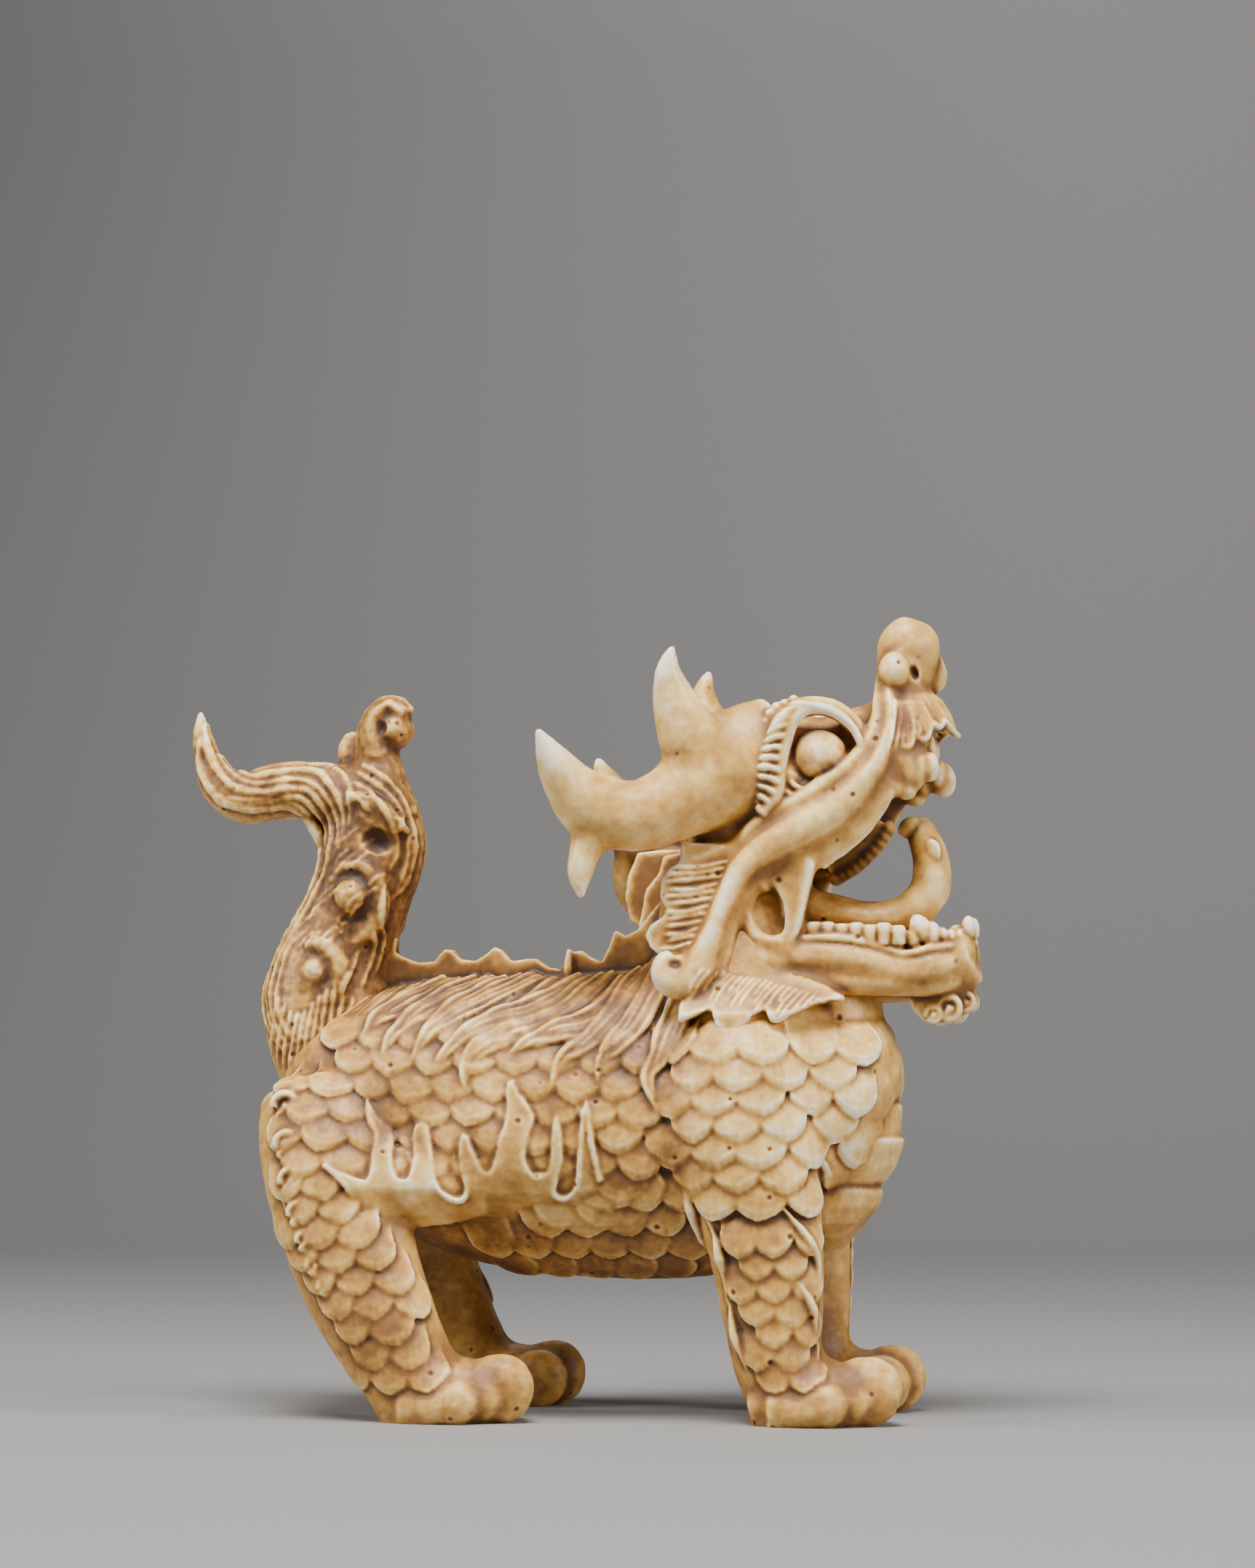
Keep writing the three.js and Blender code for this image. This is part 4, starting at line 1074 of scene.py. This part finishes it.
soft = [loft(SKULL, 40), loft(CHEEK, 36), loft(LOWER_JAW, 32), loft(NOSE, 28), bead(*CHIN)]
soft += both(loft(HORN, 32), loft(UPPER_TINE, 28), loft(LOWER_TINE, 24))
head_form = fuse(mesh_object("head_form", soft), FORM_VOXEL, HEAD_SOFTENING)
carve(head_form, both(bead(*EYE_SOCKET), bead(*EAR_CUP)))

# The lips, gums, ribbons, brows and fringes around the skull: strips, slabs and knobs of clay
# laid on the soft form and cast with it. Strips are rows like a limb's, on the far side, slabs
# are outlines in the side view, and rods have a radius in place of two half sizes.
RIBBON = [
    (38.7, 2.8, 93.4, 0.4, 0.6), (39.2, 4.1, 90, 0.7, 1), (39.8, 5.4, 86.5, 0.95, 1.4),
    (39.2, 6.6, 83.2, 1.1, 1.6), (37.9, 7.6, 80, 1.4, 1.7), (35.3, 8.5, 76.8, 1.9, 1.8),
    (32.4, 9.2, 74.3, 2.2, 1.8), (28.7, 9.8, 72.2, 2.3, 1.8), (24.7, 10.3, 69.9, 2, 1.8),
    (21.8, 10.9, 67.2, 1.6, 1.8), (20.2, 11.4, 64.2, 1.35, 1.8), (19, 11.9, 61, 1.3, 1.8),
    (17.8, 12.3, 57.8, 1.6, 1.9), (16.6, 12.6, 55, 2, 2), (14.7, 12.9, 53.4, 2.1, 2),
    (12.8, 13, 54, 1.9, 1.9), (12.4, 12.9, 55.8, 1.3, 1.5), (13.4, 12.7, 56.9, 0.8, 1),
]
UPPER_RIDGE = [
    (21.1, 9.2, 69.1, 0.6, 0.8), (22.6, 9.4, 71.8, 1, 1), (25.1, 9.4, 74, 1.15, 1.2),
    (28.8, 9.2, 75.9, 1.2, 1.2), (31.7, 8.8, 77.9, 1.2, 1.2), (34.6, 8, 80, 1.2, 1.2),
    (36.8, 6.9, 82.8, 1.1, 1.2), (38, 5.6, 85.8, 0.95, 1.1), (38, 4.2, 88.8, 0.7, 0.9),
    (37.9, 3, 91.8, 0.4, 0.6),
]
BROW = [
    (24.2, 8.8, 73.8, 0.6, 1.2), (24.8, 9.2, 76.4, 1.5, 1.7), (24.9, 9.3, 79.4, 1.9, 1.8),
    (25.3, 9.3, 82.6, 1.9, 1.8), (26.4, 9, 85.4, 1.8, 1.8), (28.4, 8.4, 87.2, 1.4, 1.9),
    (31, 7.8, 87.7, 1.2, 1.9), (33.4, 7, 87, 1.2, 1.7), (35.4, 6.2, 85.2, 1, 1.4),
    (36, 5.8, 83.6, 0.5, 0.9),
]
LID = [
    (24.5, 74.2), (26.2, 76.5), (26.6, 79.4), (27.1, 82.3), (28.2, 85.5), (29.7, 87), (31.5, 87.3),
    (33.3, 86.8), (35.5, 85), (36.7, 82.4),
]
GUM = [
    (39.8, 84.5), (41, 81), (40.4, 79.2), (38.9, 76.6), (37.2, 74.5), (35.1, 72.3), (33.2, 70.2),
    (31.4, 68.8), (30.3, 67.6), (27.5, 67.5), (28, 70.5), (31.5, 73.5), (35.5, 77.5), (37.5, 81.5),
]
STRAP = [
    (24, 67.4), (25.8, 65), (26.7, 63.2), (26.9, 61.1), (26.6, 58.6), (26, 56.6), (27, 57.1), (28.6, 59.4),
    (29.3, 62.1), (29.9, 65), (30.7, 67.9), (29, 70), (25, 70),
]
MANE = [
    (13.8, 71), (20, 70.5), (20.5, 66), (19, 58), (16, 56.6), (11.4, 56.9), (10.2, 57.9), (9.5, 59.4),
    (10.2, 60.7), (12, 61.8), (12.2, 62.6), (11.4, 64), (11.6, 66.2), (12.5, 67.6), (13.8, 68.3),
]
FAR_MANE = [(14, 71.5), (5.4, 71), (4.2, 68), (3.8, 65), (4.4, 62), (5.8, 61.2), (8, 60.6), (14, 58)]
MID_MANE = [(16, 71), (10, 70), (9.2, 67.5), (7.6, 65.6), (7.2, 63), (6.6, 61), (8, 59.6), (16, 58)]
BEARD = [
    (14.9, 52.6), (14.6, 48.4), (16.6, 49.4), (18.6, 50.2), (19.2, 48.2), (20.8, 46.6), (23, 48.6),
    (25, 50.2), (26.1, 48.1), (28.6, 49.6), (31, 50.8), (34.6, 51.4), (31.5, 53.2), (27.5, 54.6),
    (22, 55.8), (17.8, 55.6),
]
JAW_EDGE = [
    (19.6, -8.4, 59.6, 0.9), (22.8, -8.2, 58, 1.7), (26.5, -7.6, 57, 2.2), (31, -6.9, 56.8, 2.2),
    (36, -6, 56.2, 2.2), (41, -5.1, 55, 2.3), (45, -4.2, 55.6, 2.4), (48, -2, 57, 1.7),
]
JAW_UNDER = [
    (20, -8.2, 57.4, 1), (23.2, -7.9, 55.9, 1.6), (26.5, -7.4, 54.8, 1.8), (31, -6.7, 54, 1.9),
    (36, -6, 53.8, 1.9), (41, -5.1, 53.7, 1.9), (45, -4, 53.8, 1.9), (47.4, -2.8, 54.6, 1.5),
    (48.6, -1, 55.6, 0.8),
]
EAR_RIM = [
    (23.6, -9.1, 66), (22.4, -9.2, 64.4), (22, -9.2, 62.6), (22.4, -9.2, 60.6), (23.6, -9.2, 59),
    (25.3, -9.1, 58.4), (26.6, -9.1, 58.7),
]
BEARD_STEP = 0.35
BEARD_THICK = 3.6
LOWER_GUM = [(27.6, -7.2, 58.6, 0.9), (34, -6.4, 58.5, 0.9), (41, -5.8, 57.9, 0.9)]
# Beads: centre, half sizes, and for some the tilt and the sides.
SCROLL_EYE = ((14.6, -12.6, 55.2), (1.9, 1.3, 1.7))
CHEEK_FOOT = ((23, -7.5, 56), (5.8, 3.1, 3.3))
JAW_TIP = ((47.5, -2, 57), (2.2, 3, 3.8))
FAR_FANG = ((44.9, 4.8, 79.4), (1.8, 1.2, 2.4), 10, 20)
FAR_NOSTRIL = ((44.1, 2.5, 92.6), (1.8, 2, 2.6), 0, 24)
# Fangs, their gums and the nostril's wing.
MUZZLE_BEADS = [
    ((41.2, -5, 80.2), (1.9, 1.6, 2.7), 20, 28), ((39.6, -5.6, 77.9), (1.9, 1.3, 1.5), -30, 20),
    ((42.9, -4.5, 79.6), (1.2, 1.5, 2.4), -12, 20), ((41.5, -4.9, 77.2), (1.4, 1.2, 1.2), 0, 20),
    ((40.6, -4.8, 81.4), (2.2, 1.5, 3), 0, 24), ((41.8, -3.8, 84.4), (2.6, 1.6, 3.4), 0, 24),
    ((44.4, -3.9, 80.2), (1.1, 1.3, 1.9), 0, 20), ((38.2, -6.2, 79), (1.2, 1, 2), 0, 18),
    ((40, -3.5, 92.3), (2.1, 2.5, 2.6), 0, 24),
]


def strip(rows, sides, ahead=0, inwards=0, deeper=1):
    """A loft on the near side, set ahead and inwards, its half depth multiplied."""
    return loft([(x + ahead, -y + inwards, z, deeper * deep, wide) for x, y, z, deep, wide in rows], sides)


def gum_face(x, z):
    """How far out the upper gum's face lies."""
    return 8.5 - 0.16 * (x - 30)


def mane_face(x, z):
    """How far out the face of the mane behind the cheek lies."""
    return 10.9 - 0.12 * (16 - x) - 0.6 * max(0, z - 67.5)


def beard_face(x, z):
    """How far out the beard's face lies: it flares downwards and closes in to the chin."""
    return min(15.4, 9.8 + 0.86 * (56 - z)) - 0.2 * max(0, x - 22)


def beard_at(x, z, side):
    """Point and normal of the beard's face, for a sheet."""
    return Vector((x, side * beard_face(x, z), z)), Vector((0, side, 0))


blended = both(
    strip(RIBBON, 20), bead(*SCROLL_EYE), strip(RIBBON[2:10], 20, ahead=0.2, inwards=1.9, deeper=2.3),
    strip(RIBBON[9:14], 20, ahead=0.2, inwards=1.7, deeper=1.7), strip(UPPER_RIDGE, 16), strip(BROW, 20),
    rod(JAW_EDGE, sides=16), rod(JAW_UNDER, sides=16), bead(*CHEEK_FOOT), bead(*JAW_TIP),
    slab(GUM, gum_face, 1.9, -1), slab(STRAP, lambda x, z: 9.8, 2.2, -1), slab(MANE, mane_face, 2.6, -1),
    sheet(beard_at, BEARD, -1, BEARD_STEP, lambda x, z: 0, -BEARD_THICK),
    *(bead(*values) for values in MUZZLE_BEADS), rod(EAR_RIM, 0.95, 12), rod(LOWER_GUM, sides=12),
)
blended += [slab(FAR_MANE, lambda x, z: 9.2 - 0.1 * (14 - x), 1.9, 1),
            slab(MID_MANE, lambda x, z: 2.4, 2.4, 1), bead(*FAR_FANG), bead(*FAR_NOSTRIL)]

# The upper lip: a fluted skirt that flares from under the nose to a scalloped rim, modelled in
# clay as one closed shell around the snout and cast with it.
LIP_WALL = 1.4
FLUTES = 34
FLUTE_DEPTH = 0.035
LIP_RIM = [
    (39, 6.6, 83.8), (40.4, 6.5, 83), (41.4, 6.3, 82.4), (42.4, 6, 82.8), (42.6, 5.8, 84.3),
    (43.3, 5.4, 83.5), (44.2, 5, 83.6), (44.8, 4.4, 85.4), (45.6, 3.6, 85), (46.2, 2.8, 85.8),
    (46.9, 1.8, 85), (47.4, 0.8, 84.4), (47.6, 0, 84.2),
]
LIP_HEART = np.array([41, 0, 86])
rim = smooth_path([(x, -y, z) for x, y, z in LIP_RIM] + [(x, y, z) for x, y, z in LIP_RIM[-2::-1]], 3)
angle = np.linspace(-math.pi * 0.72, math.pi * 0.72, len(rim))
lip_top = np.stack([40.8 + 3.2 * np.cos(angle), 3.6 * np.sin(angle), 90 + 0 * angle], axis=1)
outer = []
for share in np.linspace(0, 1, 9):
    row = lip_top + (rim - lip_top) * np.array([share ** 0.5, share ** 0.6, share])
    flute = 1 + FLUTE_DEPTH * share * np.sin(FLUTES * angle)
    outer.append(LIP_HEART + (row - LIP_HEART) * np.stack([flute, flute, 1 + 0 * flute], axis=1))
inner = []
for row in outer:
    way = (row - LIP_HEART) * np.array([1, 1, 0.2])
    inner.append(row - way * (LIP_WALL / np.linalg.norm(way, axis=1))[:, None])
blended.append(close_rings(np.array([np.concatenate([a, b[::-1]]) for a, b in zip(outer, inner)])))

# The tongue, curled up at its tip over the floor of the mouth, in the same clay and cast with the
# jaws. With it the head's skin is complete, and it is melted and rounded in its inner corners.
HEAD_VOXEL = 0.3
TONGUE = [
    (26, 0, 63.2, 3, 4.4), (31, 0, 62.4, 2.6, 4), (36, 0, 61.6, 2.3, 3.6), (40.4, 0, 62.1, 2.4, 3.4),
    (43.6, 0, 64.9, 2.5, 3.2), (44, 0, 68.6, 2.3, 2.9), (43, 0, 71.8, 2, 2.4), (41.9, 0, 73.8, 1.4, 1.6),
]
MOUTH_FLOOR = [(28, 59.6), (42, 59.2), (47, 58.8), (48.6, 59), (48, 55), (28, 55)]
blended += [loft(TONGUE, 28), slab(MOUTH_FLOOR, lambda x, z: 5.8 - 0.09 * (x - 28), 9.8, -1)]
head_skin = fuse(merge([head_form, mesh_object("head_parts", blended)], "head_skin"), HEAD_VOXEL, 2)
fill_creases(head_skin, CREASE_STEPS, CREASE_ROUNDS)
head_tree = tree_of(head_skin)

# Crisp parts, laid on last: eyeballs, lids, brow lobes, gums, teeth, lip edges and beard curls.
# They are rolled and pressed bits of clay, cast with the head, and keep sharper edges than its skin.
TONGUE_LUMP = ((44.5, -2.45, 70), (1, 0.45, 1.5), 14, 16)
TONGUE_TIP = ((41.5, -0.9, 73), (1.7, 1.4, 1.3), 30, 16)
EYEBALL = ((31, -7, 81.5), (3.4, 3.2, 3.3), 0, 32)
LOWER_LIDS = [
    [(27, -9.2, 79), (28.4, -9.3, 77.6), (30.2, -9, 77.1), (32.2, -8.8, 77.5)],
    [(26.8, -9.5, 77.2), (28.4, -9.5, 76.2), (30.2, -9.3, 75.9)],
]
LOWER_LIP = [
    (26.9, -8.5, 58.7), (31.2, -7.9, 58.9), (34.9, -7.3, 58.8), (38.5, -6.6, 57.7), (41.4, -6.3, 56.9),
    (44.3, -5.8, 57.6), (47, -4.4, 58), (48.6, -2.4, 58.4), (49.2, 0, 58.6),
]
# Lines in the side view that the brow's lobes, the gum's beads and the palate's knobs follow.
LOBE_LINE = [(24, 74.8), (23.5, 77.2), (23.3, 79.6), (23.8, 83), (24.7, 85.6), (26, 87.4), (28, 88.4)]
GUM_LINE = [(39.3, 77.4), (38.5, 76.2), (37.1, 74.4), (35.1, 72.2), (33.2, 70.2), (31.2, 68.5)]
PALATE_LINE = [(31.4, 67.2), (33.8, 68.6), (36.2, 70.8), (38, 73.4)]
LOBES = 13
MOLARS = 7
CHIN_HAIRS = 6
# Lower fangs, front teeth and a knob of the chin's beard: a bead's centre, half sizes and tilt.
LOWER_TEETH = [
    ((43.3, -5.3, 60.1), (1.35, 1.2, 2), 30), ((44.6, -5.1, 59.4), (1, 1.1, 1.6), 0),
    ((42.3, -5.4, 59), (1, 1.1, 1.4), 0), ((45.9, -4.4, 59.3), (0.6, 0.9, 0.9), 0),
    ((46.9, -4, 59.2), (0.6, 0.9, 0.9), 0), ((47.8, -3.6, 59.3), (0.55, 0.9, 0.9), 0),
    ((48.8, -2.7, 60.3), (0.9, 1.1, 1.6), 0), ((49, -0.9, 60.1), (0.8, 0.8, 1.3), 0),
    ((47.4, -0.9, 50.9), (1.2, 1.2, 1.8), 0),
]
# The upper front teeth: x, z and radius down a tooth, and their places across.
FRONT_TOOTH = [(43.6, 85.4, 0.7), (43.9, 82.4, 0.95), (42.9, 79.6, 0.7)]
FRONT_TOOTH_PLACES = (-2.7, -0.9, 0.9, 2.7)
# The curls of the chin's beard: the middle and the size.
CHIN_CURLS = [(46.4, -3.7, 50.4, 1.3), (48.3, -2.2, 51.2, 1), (44.5, -4, 49.6, 0.9)]

lid = [(x - 0.3, -10 + 0.28 * max(0, x - 29), z, 0.95 - 0.06 * max(0, x - 29)) for x, z in LID]
lip_edge = [(x - 0.1, -0.96 * y, z + 0.2) for x, y, z in LIP_RIM]
edges = [bead(*TONGUE_LUMP), bead(*TONGUE_TIP)]
edges += both(bead(*EYEBALL), rod(lid, sides=14), rod(LOWER_LIDS[0], 0.4), rod(LOWER_LIDS[1], 0.4),
              rod(LOWER_LIP, 0.62), rod(lip_edge, 0.4, 8))
for k, (x, z) in enumerate(smooth_path(LOBE_LINE, 2)[:LOBES]):
    share = k / (LOBES - 1)
    size = 0.62 + 0.22 * math.sin(2.3 * k) ** 2
    edges += both(bead((x, -10.2 + 1.7 * share ** 3, z), (0.95 * size, 0.8, size), 15, 12))
for k, (x, z) in enumerate(smooth_path(GUM_LINE, 3)):
    face = -gum_face(x, z)
    edges += both(bead((x + 0.35, face + 0.7, z - 0.35), (0.66 + 0.12 * (k % 3), 0.8, 0.7), 45, 10),
                  rod([(x - 0.5, face + 0.9, z + 0.6, 0.35), (x - 1.6, face + 0.7, z + 2, 0.25)], sides=8))
palate = smooth_path(PALATE_LINE, 3)
edges.append(rod([(x - 0.9, 5, z + 0.9) for x, z in palate], 1.5, 14, 2))
edges += [bead((x, 4.8, z), (1.05, 1.3, 1.05), 45, 12) for x, z in palate]
for k in range(MOLARS):
    x = 30.2 + 1.72 * k
    y = -7.1 + 0.13 * k
    high = 61 + 0.2 * math.sin(3 * k) - 0.06 * k
    molar = [(x, y, 58.2, 0.9), (x, y, 59.4, 0.98), (x, y, high - 0.5, 0.96), (x, y, high, 0.72)]
    edges += both(rod(molar, sides=12))
edges += both(*(bead(*tooth, 14) for tooth in LOWER_TEETH))
for place in CHIN_CURLS:
    edges += both(*curl(*place))
for y in FRONT_TOOTH_PLACES:
    edges.append(rod([(x, y, z, radius) for x, z, radius in FRONT_TOOTH]))
for k in range(CHIN_HAIRS):
    edges += both(rod([(41.4 + 0.7 * k, -3.7, 52.8), (42.2 + 0.6 * k, -3.9, 50.5 - 0.2 * k),
                       (44 + 0.35 * k, -3.4, 48.8 + 0.1 * k), (46, -2.8, 49 + 0.2 * k)], 0.34, 8))
head_edges = mesh_object("head_edges", edges)

# Combed lines over the head: along the mane behind the cheeks, down the beard, across the brow
# and down the upper lip. They were drawn in the clay with a point and are made as strands.
MANE_LINES = 12
BEARD_LINES = 22
BROW_LINES = 13
LIP_LINES = 9
# Nostrils and the eye of the ribbon's scroll, cut in last: a bead's centre, half sizes and tilt.
HEAD_HOLLOWS = [
    ((42.5, -4.4, 92), (0.6, 1.9, 1.2), 12), ((45.4, 3, 93.6), (0.6, 1, 1.3)),
    ((14.1, -14.6, 55.9), (1.1, 1.2, 0.9)),
]

lines = []
for side in (-1, 1):
    for k in range(MANE_LINES):
        z = 57.8 + 0.92 * k
        back = 11.2 + 1.2 * abs(math.sin(k * 1.3))
        front = 15.4 + 0.42 * (z - 57)
        wave = 0.25 * math.sin(2.2 * k)
        sweep = [(front, z + 0.5), (0.5 * (front + back), z + wave), (back, z - 0.1)]
        lines.append(strand_on(head_tree, sweep, 0.27, side, 0.3))
    for k in range(BEARD_LINES):
        x = 17.6 + 0.74 * k
        z = 55 - 0.06 * k - 0.0065 * k * k
        long = 0.75 + 0.25 * math.sin(1.7 * k)
        fall = [(x, z), (x - 1.6 * long, z - 2 * long), (x - 2.8 * long, z - 4.2 * long)]
        lines.append(strand_on(head_tree, fall, 0.2, side, 0.2))
    for k, edge in enumerate(smooth_path(LID[:7], 2)[:BROW_LINES]):
        share = k / (BROW_LINES - 1)
        back = np.array([23.7 + 2.2 * share ** 2 + 1.6 * share ** 6, 75.2 + 12.4 * share ** 0.9])
        middle = 0.5 * (edge + back) + [0, 0.25]
        lines.append(strand_on(head_tree, [tuple(edge), tuple(middle), tuple(back)], 0.42, side, 0.4))
    for k in range(LIP_LINES):
        share = k / (LIP_LINES - 1)
        fall = [(40.2 + 3 * share, 88.6), (40.3 + 4.2 * share, 86), (39.6 + 6 * share, 81.6 + 3.2 * share)]
        lines.append(strand_on(head_tree, fall, 0.26, side, 0.2))
head_lines = strands("head_lines", lines, head_skin)
carve(head_skin, [bead(*hollow) for hollow in HEAD_HOLLOWS])


def head_stain_and_shade(x, y, z):
    """Browner by the eyes and paler outside, with painted shade in the mouth, on the inner mane and on the
    far horn and a painted highlight on the near horn.
    """
    # Painted shade: darker inside the mouth, most of all high under the upper jaw.
    mouth = fade(x, 28, 31) * fade(46 - x, 0, 6) * fade(6.4 - np.abs(y), 0, 1.5)
    mouth = mouth * fade(z, 58, 61) * fade(81 - z, 0, 4)
    # Painted shade in the inner mane, behind the cheek and under the horn.
    painted_shade_inner_mane = fade(14 - x, 0, 2) * fade(11 - np.abs(y), 0, 2) * fade(72 - z, 0, 2)
    outside = fade(np.abs(y), 6.5, 8) * fade(z, 50, 54)
    # Painted light and shade on the horns: the near horn is painted paler and the far horn darker.
    horn = fade(22 - x, 0, 6) * fade(np.abs(y), 8, 10) * fade(z, 66, 70)
    spots = 0.2 * fade(3.6 - np.hypot(x - 31, z - 81.5), 0, 0.5) * fade(np.abs(y), 7.5, 8.5)
    spots = spots * fade(np.sin(1.9 * x - 1.3 * z) + np.sin(1.7 * z + 0.9 * x) - 0.25 * (x - 31), 0, 0.6)
    painted_shade_in_mouth = (0.14 + 0.16 * fade(z, 64, 67)) * mouth
    return 0.03 + painted_shade_in_mouth + 0.25 * painted_shade_inner_mane + spots - 0.07 * outside - 0.12 * horn * np.sign(-y)


cast("lion_head", [head_skin, head_lines, head_edges], HEAD_TRIANGLES, head_stain_and_shade)

# The studio: a pale seamless paper sweep that the figure stands on, one big soft light over it,
# one on each side and one for the paper behind. Sizes are in metres and powers in watts.
SWEEP = 0.5
SWEEP_START = 0.6
SWEEP_HALF_WIDTH = 2.4
SWEEP_FRONT = -1.6
SWEEP_TOP = 2.6
# Each light: name, place, target, width and power.
LIGHTS = [
    ("top_light", (0.02, -0.24, 0.57), (0, 0, 0.05), 0.3, 6.7),
    ("backdrop_light", (0, 0.75, 1.0), (0, 1.1, 0.6), 0.4, 4.7),
    ("left_light", (-0.55, -0.25, 0.35), (0, 0, 0.06), 0.28, 3.0),
    ("right_light", (0.6, -0.2, 0.3), (0, 0, 0.06), 0.28, 3.2),
]

profile = [(SWEEP_FRONT, 0), (SWEEP_START, 0)]
profile += [(SWEEP_START + SWEEP * math.sin(a), SWEEP * (1 - math.cos(a)))
            for a in np.linspace(0, math.pi / 2, 24)[1:]]
profile += [(SWEEP_START + SWEEP, SWEEP_TOP)]
points = [(x, y, z) for y, z in profile for x in (-SWEEP_HALF_WIDTH, SWEEP_HALF_WIDTH)]
faces = [(2 * k, 2 * k + 1, 2 * k + 3, 2 * k + 2) for k in range(len(profile) - 1)]
floor = mesh_object("studio_sweep", [(np.array(points), faces)])
floor.data.shade_smooth()

# Matte grey paper has no gloss, so the eye gets a plain ground with a soft shadow under the paws.
paper = bpy.data.materials.new("matte_grey_paper")
paper.use_nodes = True
sheet_surface = paper.node_tree.nodes["Principled BSDF"]
sheet_surface.inputs["Base Color"].default_value = linear("#868482")
sheet_surface.inputs["Roughness"].default_value = 0.85
floor.data.materials.append(paper)

world = bpy.data.worlds.new("room")
bpy.context.scene.world = world
world.use_nodes = True
room = world.node_tree.nodes["Background"]
room.inputs["Color"].default_value = linear("#C8C6C2")
room.inputs["Strength"].default_value = 0.13
for label, stand, target, width, power in LIGHTS:
    light = bpy.data.lights.new(label, "AREA")
    light.shape = "DISK"
    light.size = width
    light.energy = power
    lamp = bpy.data.objects.new(label, light)
    lamp.location = stand
    lamp.rotation_euler = (Vector(target) - Vector(stand)).to_track_quat("-Z", "Y").to_euler()
    bpy.context.scene.collection.objects.link(lamp)

# The camera stands a little to the front of the figure's side and looks slightly upwards, so that
# the level line of its eye lies below the middle of the picture. Its place is in metres.
LENS = 87.04
SENSOR = 36
TURN = 11
CAMERA_PLACE = (0.09679, -0.47017, 0.0355)
# In pixels of the picture: the level line below the middle, and the focal length.
LEVEL_BELOW_MIDDLE = 475
FOCAL_PIXELS = 5212.8

cam = bpy.data.cameras.new("camera")
cam.lens = LENS
cam.sensor_width = SENSOR
eye = bpy.data.objects.new("camera", cam)
azimuth = math.radians(TURN)
pitch = math.atan(LEVEL_BELOW_MIDDLE / FOCAL_PIXELS)
eye.location = (CAMERA_PLACE[0] + CAD_SHIFT * MM, CAMERA_PLACE[1], CAMERA_PLACE[2])
eye.rotation_euler = (math.pi / 2 + pitch, 0, azimuth)
bpy.context.scene.collection.objects.link(eye)
bpy.context.scene.camera = eye
